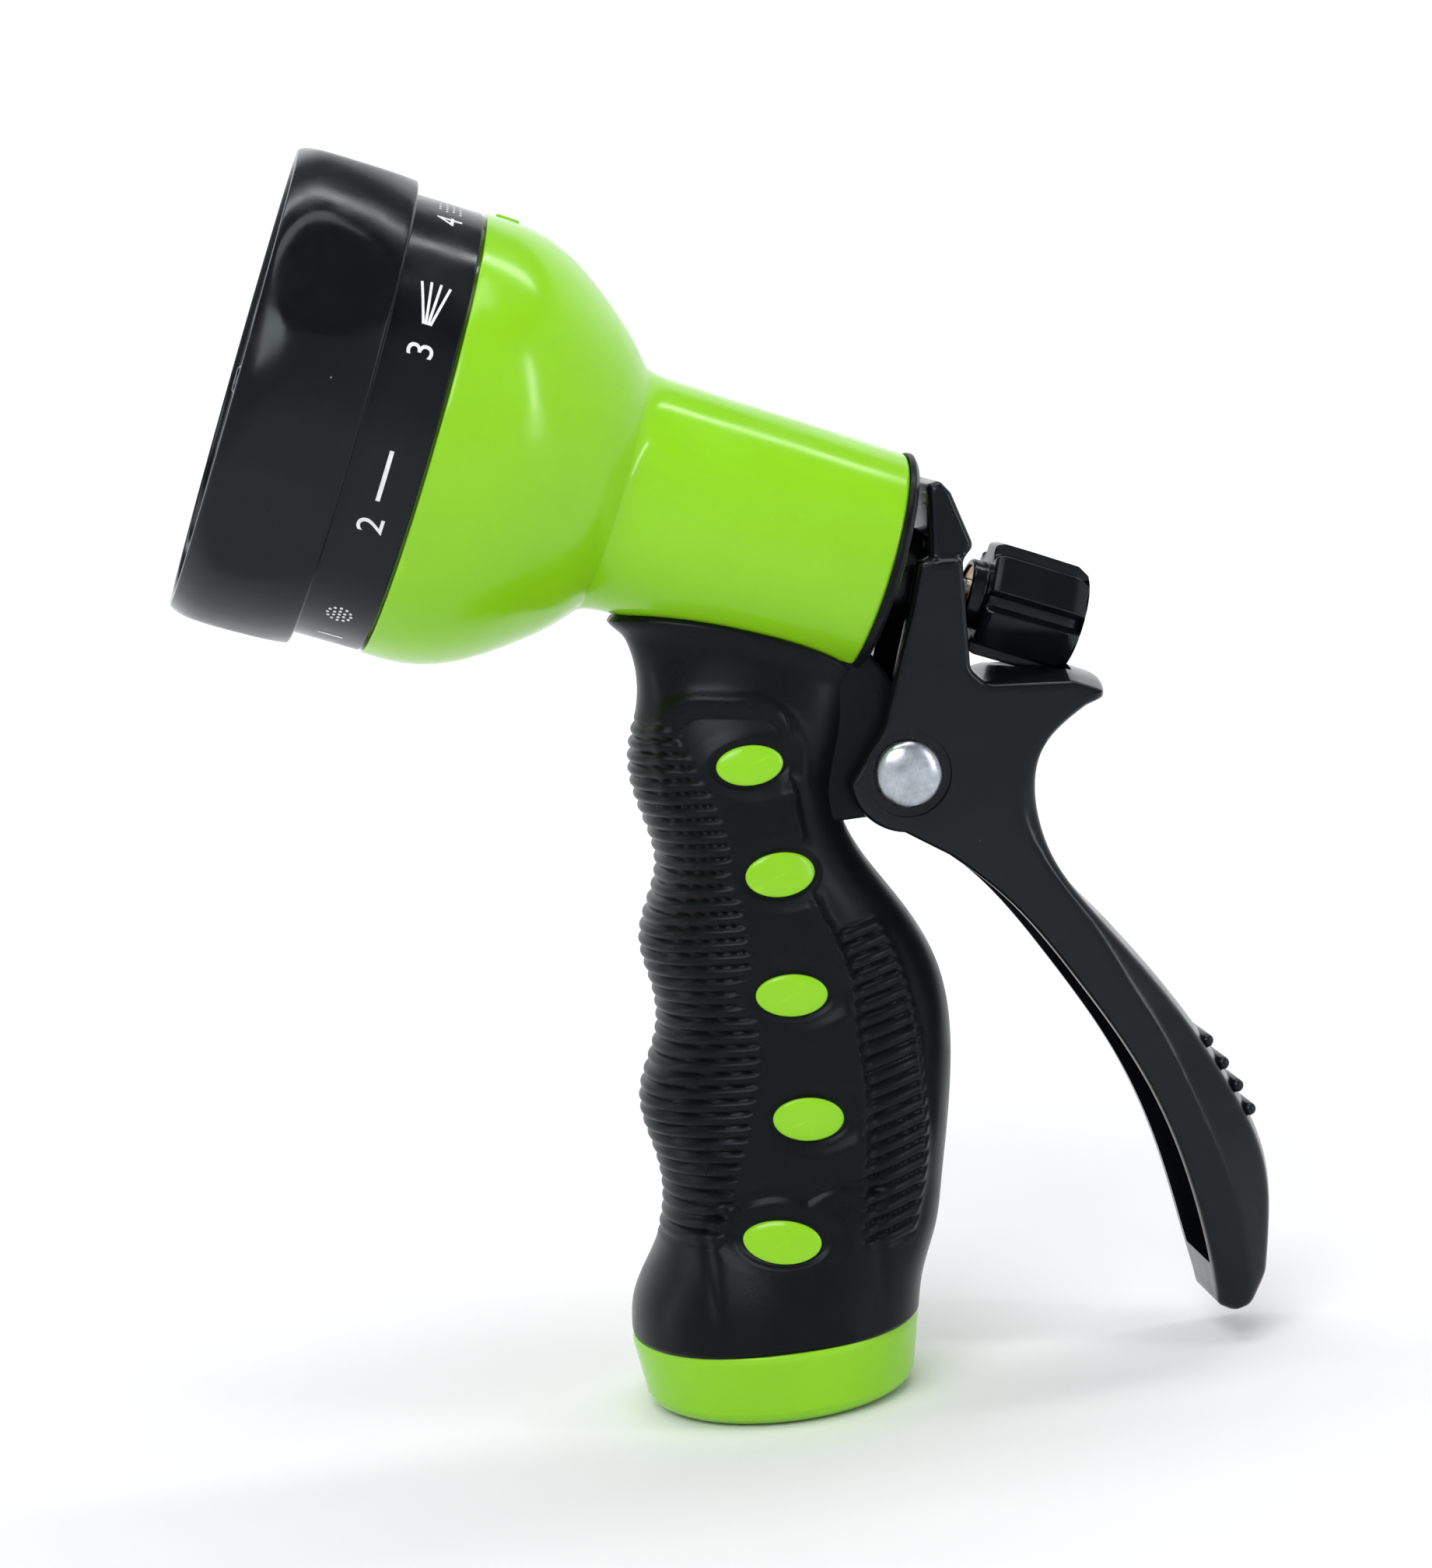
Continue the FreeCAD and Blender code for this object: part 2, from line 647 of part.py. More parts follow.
def grip_loft(inset):
    """The grip's form, drawn in by an inset all round."""
    sections = []
    for level, front, back, half_width in GRIP_LEVELS:
        middle = (front + back) / 2
        depth = (back - front) / 2 - inset
        across = half_width - inset
        if depth >= across:
            ellipse = Part.Ellipse(Vector(middle, 0, level), depth, across)
            sections.append(Part.Wire(ellipse.toShape()))
            continue
        ellipse = Part.Ellipse(Vector(middle, across, level), Vector(middle + depth, 0, level),
                               Vector(middle, 0, level))
        sections.append(Part.Wire(ellipse.toShape()))
    return Part.makeLoft(sections, True, False)


# middle of each oval boss, its half length and half height, and its tilt, back end down
OVALS = [
    (2.6, 90.9, 4.6, 2.7, 0),
    (5.1, 75.7, 4.8, 3.0, 0),
    (4.9, 59.1, 4.9, 2.9, 4),
    (5.5, 41.7, 4.9, 3.0, 6),
    (0.2, 25.1, 5.3, 2.9, 8),
]


def oval_bars(grow):
    """Elliptical bars right across the gun, one for each pair of oval bosses."""
    bars = []
    for x, z, half_length, half_height, tilt in OVALS:
        ellipse = Part.Ellipse(Vector(0, 0, 0), half_length + grow, half_height + grow)
        face = Part.Face(Part.Wire(ellipse.toShape()))
        bar = face.extrude(Vector(0, 0, 50))
        bar.Placement = Placement(Vector(x, -25, z), Rotation(Vector(0, 1, 0), tilt).multiply(
            Rotation(Vector(1, 0, 0), -90)))
        bars.append(bar)
    return bars


def lug_shape(grow):
    """The lug that carries the pivot pin, grown all round by what covers or clears it."""
    half_width = size("lug_half_width") + grow
    boss = Part.makeCylinder(size("lug_r") + grow, 2 * half_width,
                             Vector(PIVOT.x, -half_width, PIVOT.z), Vector(0, 1, 0))
    web = polygon_slab([(4.0, 80.4 - grow), (PIVOT.x, PIVOT.z - size("lug_r") - grow),
                        (PIVOT.x + grow, PIVOT.z + size("lug_r") + grow),
                        (19.0 + grow, 101.0), (17.0, 108.0), (4.0, 108.0)], half_width)
    return web.fuse(boss)


def barrel_radius(back):
    """The barrel's outside radius, which draws in slightly from the neck to the rear end."""
    neck = size("neck_at")
    share = (back - neck) / (size("barrel_end") - 1 - neck)
    return size("barrel_front_r") + share * (size("barrel_r") - size("barrel_front_r"))


def make_gun_body():
    barrel = turned("barrel_round", [
        ("0", "dims.spigot_start"),
        ("dims.spigot_r", "dims.spigot_start"),
        ("dims.spigot_r", "dims.neck_at"),
        ("dims.barrel_front_r", "dims.neck_at"),
        ("dims.barrel_r", "dims.barrel_end - 1", "1"),
        ("dims.barrel_r - 1", "dims.barrel_end"),
        ("dims.tail_r", "dims.barrel_end"),
        ("dims.tail_r", "dims.tail_end"),
        ("0", "dims.tail_end"),
    ])
    collar = turned("inlet_collar", [
        ("0", "0"),
        ("dims.foot_r - 1.8", "0", "2"),
        ("dims.foot_r + 0.25", "1.8"),
        ("dims.collar_r", "dims.collar_height"),
        ("dims.collar_r - 1.5", "dims.collar_height"),
        ("0", "dims.collar_height"),
    ], HOME)
    core = shaped("handle_core", grip_loft(size("grip_skin")))
    skin = grip_loft(0)
    ovals = [bar.common(skin) for bar in oval_bars(0)]
    bosses = shaped("oval_bosses", ovals[0].multiFuse(ovals[1:]))
    lug = shaped("pivot_lug", lug_shape(0))
    solid = fused("gun_body_solid", [barrel, collar, core, bosses, lug])
    ways = [
        cylinder("throat", "dims.throat_r", "dims.chamber_start - dims.spigot_start + 2",
                 on_head(0, size("spigot_start") - 1)),
        cylinder("valve_chamber", "dims.chamber_r",
                 "dims.gland_bore_start - dims.chamber_start + 1",
                 on_head(0, size("chamber_start"))),
        cylinder("gland_bore", "dims.gland_bore_r", "20",
                 on_head(0, size("gland_bore_start"))),
        cylinder("hose_inlet", "dims.inlet_r", "dims.inlet_depth + 1",
                 Placement(Vector(0, 0, -1), Rotation())),
        cylinder("inlet_seal_seat", "dims.seal_seat_r", "dims.seal_seat_back - 1",
                 Placement(Vector(0, 0, 1), Rotation())),
        cylinder("water_way", "dims.water_bore_r", "dims.overmold_top",
                 Placement(Vector(0, 0, 5), Rotation())),
        cylinder("pin_hole", "dims.pin_r + 0.02", "2 * dims.lug_half_width + 2",
                 across_at(PIVOT, size("lug_half_width") + 1)),
    ]
    made = cut("gun_body", solid, ways)
    made.Label = "gun_body"
    return made


def make_grip_overmold():
    skin = grip_loft(0)
    lowest = size("collar_height") + ASSEMBLED
    top = size("overmold_top")
    keep = Part.makeBox(80, 60, top - lowest, Vector(-40, -30, lowest))
    chin = polygon_slab([(-16.6, 113.6), (-9.6, 106.0), (2.0, 104.0), (2.0, 112.0)], 7.5)
    rear_ring = Part.makeCylinder(size("barrel_r") - 0.4, 1.3,
                                  Vector(0, 0, size("barrel_end") + ASSEMBLED))
    rear_ring.Placement = HEAD
    outside = skin.common(keep).fuse([chin])
    core = grip_loft(size("grip_skin") - ASSEMBLED)
    front, back = size("neck_at") - 6.5, size("barrel_end") + ASSEMBLED
    barrel = Part.makeCone(barrel_radius(front) + ASSEMBLED, barrel_radius(back) + ASSEMBLED,
                           back - front, Vector(0, 0, front), Vector(0, 0, 1))
    barrel.Placement = HEAD
    tail = Part.makeCylinder(size("tail_r") + ASSEMBLED, 20, Vector(0, 0, 90))
    tail.Placement = HEAD
    lever_room = Part.makeCylinder(size("boss_r") + 1.0, 2 * size("lever_half_width") + 1,
                                   Vector(PIVOT.x, -size("lever_half_width") - 0.5, PIVOT.z),
                                   Vector(0, 1, 0))
    windows = oval_bars(ASSEMBLED)
    pin_room = Part.makeCylinder(size("pin_r") + ASSEMBLED, 40, Vector(PIVOT.x, -20, PIVOT.z),
                                 Vector(0, 1, 0))
    made = outside.cut([lever_room]).fuse([lug_shape(size("lug_skin")), rear_ring])
    made = made.cut([barrel, tail, core, lug_shape(ASSEMBLED), pin_room] + windows)
    solids = sorted(made.Solids, key=lambda solid: solid.Volume)
    return shaped("grip_overmold", solids[-1])


def make_inlet_washer():
    return turned("inlet_washer", [
        ("dims.water_bore_r + 1", "dims.inlet_depth + 0.1"),
        ("dims.seal_seat_r - 0.1", "dims.inlet_depth + 0.1"),
        ("dims.seal_seat_r - 0.1", "dims.seal_seat_back - 0.05"),
        ("dims.water_bore_r + 1", "dims.seal_seat_back - 0.05"),
    ], HOME)


# ---------------------------------------------------------------- lever

LEVER_FRONT = [(31.4, 126.0), (30.4, 116.4), (28.6, 115.8), (26.8, 109.2), (23.8, 99.8),
               (21.6, 93.6)]
LEVER_INNER = [(28.6, 75.6), (35.7, 68.9), (45.4, 55.3), (53.6, 40.9), (57.8, 30.1), (60.8, 17.2),
               (62.3, 6.9)]
LEVER_BACK = [(70.9, 11.9), (71.4, 25.6), (67.6, 36.4), (58.5, 51.8), (48.8, 64.6),
              (43.6, 72.6), (42.5, 80.4), (44.6, 88.6), (52.8, 93.9)]
LEDGE_AND_HOOD = [(53.6, 94.8), (49.2, 97.2), (35.6, 98.2), (34.2, 99.8), (35.6, 115.8),
                  (37.6, 117.0), (35.2, 124.8), (33.4, 126.6), (31.4, 126.0)]


def lever_outline():
    """The lever from the side: straight cheeks, a round boss below the pin, a curved arm."""
    front_end = Vector(LEVER_FRONT[-1][0], 0, LEVER_FRONT[-1][1])
    inner_start = Vector(LEVER_INNER[0][0], 0, LEVER_INNER[0][1])
    boss_side = PIVOT + Vector(-size("boss_r"), 0, -1.2)
    boss_under = PIVOT + Vector(-1.4, 0, -size("boss_r"))
    low_corner = PIVOT + Vector(-5.7, 0, -5.9)
    edges = straight_edges(LEVER_FRONT)
    edges.append(Part.makeLine(front_end, boss_side))
    edges.append(Part.Arc(boss_side, low_corner, boss_under).toShape())
    edges.append(Part.makeLine(boss_under, inner_start))
    edges.append(smooth_edge(LEVER_INNER))
    tip_start = Vector(LEVER_INNER[-1][0], 0, LEVER_INNER[-1][1])
    tip_end = Vector(LEVER_BACK[0][0], 0, LEVER_BACK[0][1])
    edges.append(Part.Arc(tip_start, Vector(66.0, 0, 3.9), tip_end).toShape())
    edges.append(smooth_edge(LEVER_BACK))
    back_end = Vector(LEVER_BACK[-1][0], 0, LEVER_BACK[-1][1])
    edges.append(Part.makeLine(back_end, Vector(LEDGE_AND_HOOD[0][0], 0, LEDGE_AND_HOOD[0][1])))
    edges += straight_edges(LEDGE_AND_HOOD)
    return edges


def lever_front_view():
    """Half width of the lever at each height, as one plate seen from the front."""
    half = size("lever_half_width")
    side = [(half - 3.4, 127), (half - 1.0, 122), (half, 116), (half, 90), (half - 0.6, 60),
            (half - 1.4, 20), (half - 2.6, 8), (half - 5.0, 2)]
    ring = side + [(-y, z) for y, z in reversed(side)]
    corners = [Vector(10, y, z) for y, z in ring + ring[:1]]
    return Part.Face(Part.makePolygon(corners)).extrude(Vector(70, 0, 0))


def arm_hollow():
    """The room inside the arm, open towards the handle."""
    wall = size("arm_wall")
    curve = Part.BSplineCurve()
    curve.interpolate([Vector(x, 0, z) for x, z in LEVER_BACK])
    first = curve.parameter(Vector(LEVER_BACK[0][0], 0, LEVER_BACK[0][1] + 1))
    last = curve.parameter(Vector(LEVER_BACK[-3][0], 0, LEVER_BACK[-3][1]))
    inside = []
    steps = 12
    for number in range(steps + 1):
        at = first + (last - first) * number / steps
        tangent = curve.tangent(at)[0]
        inward = Vector(-tangent.z, 0, tangent.x)
        spot = curve.value(at) + inward * wall
        inside.append((spot.x, spot.z))
    open_side = [(34.0, 78.0), (24.0, 70.0), (38.0, 48.0), (50.0, 24.0), (56.0, 10.5)]
    edges = [smooth_edge(inside)]
    edges += straight_edges([inside[-1]] + open_side + [inside[0]])
    return slab(edges, size("cheek_inner"))


def head_rod(radius, start, end):
    """A round rod along the head's axis, between two distances behind the spray face."""
    rod = Part.makeCylinder(radius, end - start, Vector(0, 0, start), Vector(0, 0, 1))
    rod.Placement = HEAD
    return rod


def knob_relief():
    """What the knob, its collar and the gland nut need clear of the lever through its swing."""
    gap = size("lever_relief")
    swing = size("lever_swing")
    steps = 5
    rods = [head_rod(size("gland_nut_r") + gap, size("tail_end") - 1, size("gland_back") + gap)]
    for number in range(steps):
        share = number / (steps - 1)
        back = share * size("stem_travel")
        for radius, start, end in (
                (size("knob_collar_r") + gap, size("collar_front") - gap, size("knob_front")),
                (size("knob_r") + gap, size("knob_front") - gap, size("knob_back") + gap)):
            rod = head_rod(radius, start + back, end + back)
            rod.rotate(PIVOT, Vector(0, 1, 0), -share * swing)
            rods.append(rod)
    return rods


def make_lever():
    half = size("lever_half_width")
    body = slab(lever_outline(), half).common(lever_front_view())
    gap = polygon_slab([(8.0, 70.0), (8.0, 119.0), (31.2, 119.0), (29.8, 101.0), (30.2, 92.0),
                        (PIVOT.x, PIVOT.z), (26.0, 70.0)], size("cheek_inner"))
    lug_room = Part.makeCylinder(size("lug_r") + size("lug_skin") + 0.5,
                                 2 * size("cheek_inner"),
                                 Vector(PIVOT.x, -size("cheek_inner"), PIVOT.z), Vector(0, 1, 0))
    pin_hole = Part.makeCylinder(size("pin_r") + RUNNING, 3 * half,
                                 Vector(PIVOT.x, -1.5 * half, PIVOT.z), Vector(0, 1, 0))
    depth = size("counterbore_depth")
    cuts = [gap, lug_room, pin_hole, arm_hollow()]
    for side in (-1, 1):
        start = Vector(PIVOT.x, side * (half - depth), PIVOT.z)
        cuts.append(Part.makeCylinder(size("counterbore_r"), 5, start, Vector(0, side, 0)))
    # the upright slot that lets the stem through the plate, wide enough for the lever's swing
    slot = Part.makeBox(size("slot_low") + size("slot_high"), size("slot_width"), 16,
                        Vector(-size("slot_low"), -size("slot_width") / 2, size("tail_end")))
    slot.Placement = HEAD
    cuts.append(slot)
    made = body.cut(cuts).cut(knob_relief())
    solids = sorted(made.Solids, key=lambda solid: solid.Volume)
    return shaped("lever", solids[-1])


def make_pivot_pin():
    reach = size("lever_half_width") - size("counterbore_depth") + 0.1
    head = size("pin_head_r")
    height = size("pin_head_height")
    body = turned("pivot_pin", [
        ("0", "0"),
        ("1.2", "0", "6"),
        (str(head), str(height)),
        ("dims.pin_r", str(height)),
        ("dims.pin_r", str(height + 2 * reach)),
        (str(head), str(height + 2 * reach), "6"),
        ("1.2", str(2 * height + 2 * reach)),
        ("0", str(2 * height + 2 * reach)),
    ], across_at(PIVOT, reach + height))
    return body


# ---------------------------------------------------------------- all of it

def build():
    nodes = [
        make_gun_body(),
        make_grip_overmold(),
        make_bell_housing(),
        make_outlet_plate(),
        make_inlet_washer(),
        make_valve_seat(),
        make_pivot_pin(),
        make_dial_shell(),
        make_face_plate(),
        make_centre_cap(),
        make_chamber_disc(),
        make_valve_stem(),
        make_return_spring(),
        make_lever(),
    ]
    nodes += make_plate_small_parts()
    nodes += make_dial_fastening()
    nodes += make_poppet()
    nodes += make_gland()
    nodes += make_flow_knob()
    return nodes


def check(nodes):
    for thing in doc.Objects:
        if "Invalid" in thing.State or "Error" in thing.State:
            raise ValueError("%s failed: %s" % (thing.Name, thing.State))
    for node in nodes:
        if node.Shape.isNull() or not node.Shape.isValid():
            raise ValueError(node.Label + " has no valid shape")
        print("%-16s solids %d  volume %9.1f mm3" % (node.Label, len(node.Shape.Solids),
                                                     node.Shape.Volume))


nodes = build()
doc.recompute()
check(nodes)
os.makedirs("parts", exist_ok=True)
for node in nodes:
    node.Shape.exportStep("parts/%s.step" % node.Label)
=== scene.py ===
import json
import math

import bmesh
import bpy
import numpy as np
from mathutils import Matrix, Vector
from mathutils.geometry import delaunay_2d_cdt


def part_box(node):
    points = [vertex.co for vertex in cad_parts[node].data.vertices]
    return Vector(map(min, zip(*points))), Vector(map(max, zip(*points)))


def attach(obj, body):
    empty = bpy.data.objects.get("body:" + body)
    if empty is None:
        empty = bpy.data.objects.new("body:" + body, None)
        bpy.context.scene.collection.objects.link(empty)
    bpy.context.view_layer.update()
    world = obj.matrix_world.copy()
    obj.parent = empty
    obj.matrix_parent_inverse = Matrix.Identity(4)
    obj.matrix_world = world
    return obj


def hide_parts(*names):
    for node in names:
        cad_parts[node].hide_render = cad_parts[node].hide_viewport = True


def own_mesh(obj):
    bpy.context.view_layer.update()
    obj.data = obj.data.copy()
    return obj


# The looks of a rear-lever garden spray gun: gloss green body, black dial, soft ribbed grip,
# squeeze lever, flow knob and rivet.  Shapes are worked out in millimetres in the part's frame
# (+Z up the grip, +X to the lever, Y across) and turned to metres when a mesh is made.

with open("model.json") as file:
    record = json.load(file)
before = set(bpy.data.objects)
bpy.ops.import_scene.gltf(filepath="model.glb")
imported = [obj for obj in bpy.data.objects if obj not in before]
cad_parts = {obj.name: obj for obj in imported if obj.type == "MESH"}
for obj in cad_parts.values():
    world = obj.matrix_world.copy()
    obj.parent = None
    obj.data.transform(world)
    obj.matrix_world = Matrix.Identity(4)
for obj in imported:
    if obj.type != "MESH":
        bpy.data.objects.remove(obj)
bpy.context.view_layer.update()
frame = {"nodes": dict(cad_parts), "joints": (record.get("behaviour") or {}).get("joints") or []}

MM = 0.001
JOINTS = {joint["name"]: joint for joint in frame["joints"]}


# ---------------------------------------------------------------- places from the frame

DIAL_POINT_HEIGHT = 12.0        # how far behind the spray face the dial's joint point lies
HEAD_AXIS = np.array(JOINTS["dial_turn"]["axis"], float)
HEAD_AXIS /= np.linalg.norm(HEAD_AXIS)
HEAD_FRAME = np.array([(HEAD_AXIS[2], 0.0, -HEAD_AXIS[0]), (0.0, 1.0, 0.0), HEAD_AXIS])
FACE_CENTRE = np.array(JOINTS["dial_turn"]["pos_m"], float) / MM - DIAL_POINT_HEIGHT * HEAD_AXIS
PIVOT = np.array(JOINTS["lever_pivot"]["pos_m"], float) / MM
STEM_TRAVEL = JOINTS["stem_slide"]["range_m"][1] / MM


def upright_points(radius, angle, height):
    """Points of (radius, angle, height) round the hose inlet's own axis."""
    radius, angle, height = np.broadcast_arrays(radius, angle, height)
    return np.stack([radius * np.cos(angle), radius * np.sin(angle), height], -1)


def head_points(radius, angle, height):
    """The same round the head's axis, behind the spray face; angle 0 points down."""
    return FACE_CENTRE + upright_points(radius, angle, height) @ HEAD_FRAME


def pin_points(radius, angle, height):
    """The same round the pivot pin's axis, which runs across the gun."""
    return PIVOT * (1, 0, 1) + upright_points(radius, angle, height)[..., [0, 2, 1]]


# ---------------------------------------------------------------- curves and outlines

def smoothstep(low, high, value):
    share = np.clip((np.asarray(value, float) - low) / (high - low), 0, 1)
    return share * share * (3 - 2 * share)


def soft_min(first, second, blend):
    """The smaller of two numbers, with a rounded changeover."""
    share = np.clip(0.5 + (second - first) / (2 * blend), 0, 1)
    return second + (first - second) * share - blend * share * (1 - share)


def spline(knots, values):
    """The natural cubic through these values, as a function of the knot coordinate."""
    knots = np.array(knots, float)
    values = np.array(values, float)
    gap = np.diff(knots)
    slope = (np.diff(values, axis=0).T / gap).T
    count = len(knots)
    system = np.eye(count)
    right = np.zeros_like(values)
    for index in range(1, count - 1):
        system[index, index - 1:index + 2] = (gap[index - 1], 2 * (gap[index - 1] + gap[index]),
                                              gap[index])
        right[index] = 6 * (slope[index] - slope[index - 1])
    bend = np.linalg.solve(system, right)

    def at(where):
        where = np.asarray(where, float)
        span = np.clip(np.searchsorted(knots, where) - 1, 0, count - 2)
        width = gap[span]
        after = (where - knots[span]) / width
        before = 1 - after
        if values.ndim == 2:
            width, after, before = width[..., None], after[..., None], before[..., None]
        return (before * values[span] + after * values[span + 1]
                + ((before ** 3 - before) * bend[span]
                   + (after ** 3 - after) * bend[span + 1]) * width ** 2 / 6)
    return at


def curve_through(points, spacing):
    """Evenly spaced points along a smooth curve through these points."""
    points = np.array(points, float)
    run = np.concatenate([[0], np.cumsum(np.linalg.norm(np.diff(points, axis=0), axis=1))])
    return spline(run, points)(np.linspace(0, run[-1], max(2, int(run[-1] / spacing) + 1)))


ARC_FACET = math.radians(12)


def sharp_curve(points, spacing):
    """A smooth curve as (x, y, fillet) corners that stay as they are."""
    return [(x, y, 0) for x, y in curve_through(points, spacing)]


def rounded(corners):
    """An outline through (x, y, fillet) corners, with each corner turned by an arc."""
    points = []
    for index, (x, y, fillet) in enumerate(corners):
        here = np.array([x, y], float)
        if fillet <= 0:
            points.append(here)
            continue
        into = np.array(corners[index - 1][:2], float) - here
        out = np.array(corners[(index + 1) % len(corners)][:2], float) - here
        short = min(np.linalg.norm(into), np.linalg.norm(out))
        into /= np.linalg.norm(into)
        out /= np.linalg.norm(out)
        half = math.acos(float(np.clip(into @ out, -1, 1))) / 2
        if half > math.radians(89.5):
            points.append(here)
            continue
        setback = min(fillet / math.tan(half), 0.48 * short)
        radius = setback * math.tan(half)
        centre = here + (into + out) / np.linalg.norm(into + out) * radius / math.sin(half)
        start = here + into * setback - centre
        end = here + out * setback - centre
        first = math.atan2(start[1], start[0])
        turn = (math.atan2(end[1], end[0]) - first + math.pi) % (2 * math.pi) - math.pi
        steps = max(2, math.ceil(abs(turn) / ARC_FACET))
        for step in range(steps + 1):
            angle = first + turn * step / steps
            points.append(centre + radius * np.array([math.cos(angle), math.sin(angle)]))
    return np.array(points)


def spaced(outline, spacing):
    """A closed outline with no side longer than the spacing."""
    points = []
    for start, end in zip(outline, np.roll(outline, -1, axis=0)):
        pieces = max(1, math.ceil(np.linalg.norm(end - start) / spacing))
        for piece in range(pieces):
            points.append(start + (end - start) * piece / pieces)
    return np.array(points)


def lefts(outline):
    """The unit way to the left at each point of a closed outline."""
    way = np.roll(outline, -1, axis=0) - np.roll(outline, 1, axis=0)
    way /= np.maximum(np.linalg.norm(way, axis=1), 1e-9)[:, None]
    return np.stack([-way[:, 1], way[:, 0]], -1)


def circle(radius, count, centre=(0.0, 0.0)):
    """A round outline of this many points."""
    angles = np.arange(count) * 2 * math.pi / count
    return np.stack([centre[0] + radius * np.cos(angles), centre[1] + radius * np.sin(angles)], -1)


def gap_from(start, way, points):
    """Each point's gap from the nearest of these straight runs, and that run's way."""
    length = np.maximum((way ** 2).sum(-1), 1e-12)
    gaps, ways = [], []
    for block in np.array_split(points, max(1, len(points) // 500)):
        offset = block[:, None, :] - start
        share = np.clip((offset * way).sum(-1) / length, 0, 1)
        gap = offset - share[..., None] * way
        best = np.linalg.norm(gap, axis=-1).argmin(1)
        gaps.append(gap[np.arange(len(block)), best])
        ways.append(way[best])
    return np.concatenate(gaps), np.concatenate(ways)


def distance_to(outline, points):
    """How far each point is from a closed outline."""
    gap, _ = gap_from(outline, np.roll(outline, -1, axis=0) - outline, points)
    return np.linalg.norm(gap, axis=1)


def side_of(curve, x, z):
    """Distance from a curve, positive to the left of its way."""
    points = np.stack([np.ravel(x), np.ravel(z)], -1)
    gap, way = gap_from(curve[:-1], np.diff(curve, axis=0), points)
    turn = way[:, 0] * gap[:, 1] - way[:, 1] * gap[:, 0]
    return (np.sign(turn) * np.linalg.norm(gap, axis=1)).reshape(np.shape(x))


def inside(outline, points):
    """Whether each point lies inside a closed outline."""
    x, y = points[:, 0][:, None], points[:, 1][:, None]
    start, end = outline, np.roll(outline, -1, axis=0)
    crosses = (start[:, 1] > y) != (end[:, 1] > y)
    rise = np.where(end[:, 1] == start[:, 1], 1e-12, end[:, 1] - start[:, 1])
    at = (end[:, 0] - start[:, 0]) * (y - start[:, 1]) / rise + start[:, 0]
    return (crosses & (x < at)).sum(1) % 2 == 1


# ---------------------------------------------------------------- meshes

class Shell:
    """Points in millimetres and faces, gathered until they become one object."""

    def __init__(self):
        self.points = []
        self.faces = []
        self.count = 0

    def add(self, points, faces):
        points = np.asarray(points, float).reshape(-1, 3)
        self.points.append(points)
        self.faces += [tuple(int(corner) + self.count for corner in face) for face in faces]
        self.count += len(points)
        return self

    def grid(self, points, wrap_rows=False, cap=False):
        """A tube of quads over points[row][column], closed end to end, or capped, or open."""
        rows, columns = points.shape[:2]
        faces = []
        for row in range(rows if wrap_rows else rows - 1):
            above = (row + 1) % rows
            for column in range(columns):
                beside = (column + 1) % columns
                faces.append((row * columns + column, row * columns + beside,
                              above * columns + beside, above * columns + column))
        if cap:
            faces.append(tuple(range(columns))[::-1])
            faces.append(tuple(range((rows - 1) * columns, rows * columns)))
        return self.add(points, faces)

    def join(self, other):
        return self.add(np.concatenate(other.points), other.faces)

    def slab(self, low, high, faces):
        """Two sheets of the same faces, and the walls that close them along their edges."""
        self.add(low, [face[::-1] for face in faces])
        self.add(high, faces)
        used = dict.fromkeys((first, second) for face in faces
                             for first, second in zip(face, face[1:] + face[:1]))
        top = self.count - len(high)
        low = top - len(high)
        for first, second in used:
            if (second, first) not in used:
                self.faces.append((low + first, low + second, top + second, top + first))
        return self

    def lathe(self, profile, place=head_points, steps=160, radius_at=None):
        """A closed (radius, height) outline turned about an axis."""
        profile = np.asarray(profile, float)
        angles = np.arange(steps) * 2 * math.pi / steps
        radius = np.repeat(profile[:, :1], steps, axis=1)
        height = np.repeat(profile[:, 1:], steps, axis=1)
        if radius_at:
            radius = radius_at(radius, angles[None, :], height)
        return self.grid(place(radius, angles[None, :], height), wrap_rows=True)

    def loose_object(self, name):
        """The gathered shell as an object that nothing rides on yet."""
        mesh = bpy.data.meshes.new(name)
        mesh.from_pydata(np.concatenate(self.points) * MM, [], self.faces)
        clean = bmesh.new()
        clean.from_mesh(mesh)
        bmesh.ops.remove_doubles(clean, verts=clean.verts, dist=1e-7)
        bmesh.ops.dissolve_degenerate(clean, edges=clean.edges, dist=1e-7)
        bmesh.ops.recalc_face_normals(clean, faces=clean.faces)
        clean.to_mesh(mesh)
        clean.free()
        made = bpy.data.objects.new(name, mesh)
        bpy.context.scene.collection.objects.link(made)
        return made

    def object(self, name, material, body, slot, replaces=(), sharp=35):
        return dress(self.loose_object(name), material, body, replaces, sharp)


def finish_mesh(mesh, material, sharp):
    """One material, and smooth shading with real creases."""
    mesh.polygons.foreach_set("use_smooth", [True] * len(mesh.polygons))
    mesh.polygons.foreach_set("material_index", [0] * len(mesh.polygons))
    mesh.set_sharp_from_angle(angle=math.radians(sharp))
    mesh.materials.clear()
    mesh.materials.append(material)


def dress(made, material, body, replaces=(), sharp=35):
    """Finish a piece, hang it from the body it rides on, and hide the nodes it stands for."""
    finish_mesh(made.data, material, sharp)
    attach(made, body)
    if replaces:
        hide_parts(*replaces)
    return made


def prism_points(outline, half_widths):
    """Both sides of a plate across the gun: outline points (x, z) at each half width."""
    near = np.stack([outline[:, 0], -half_widths, outline[:, 1]], -1)
    far = near * np.array([1, -1, 1])
    return near, far


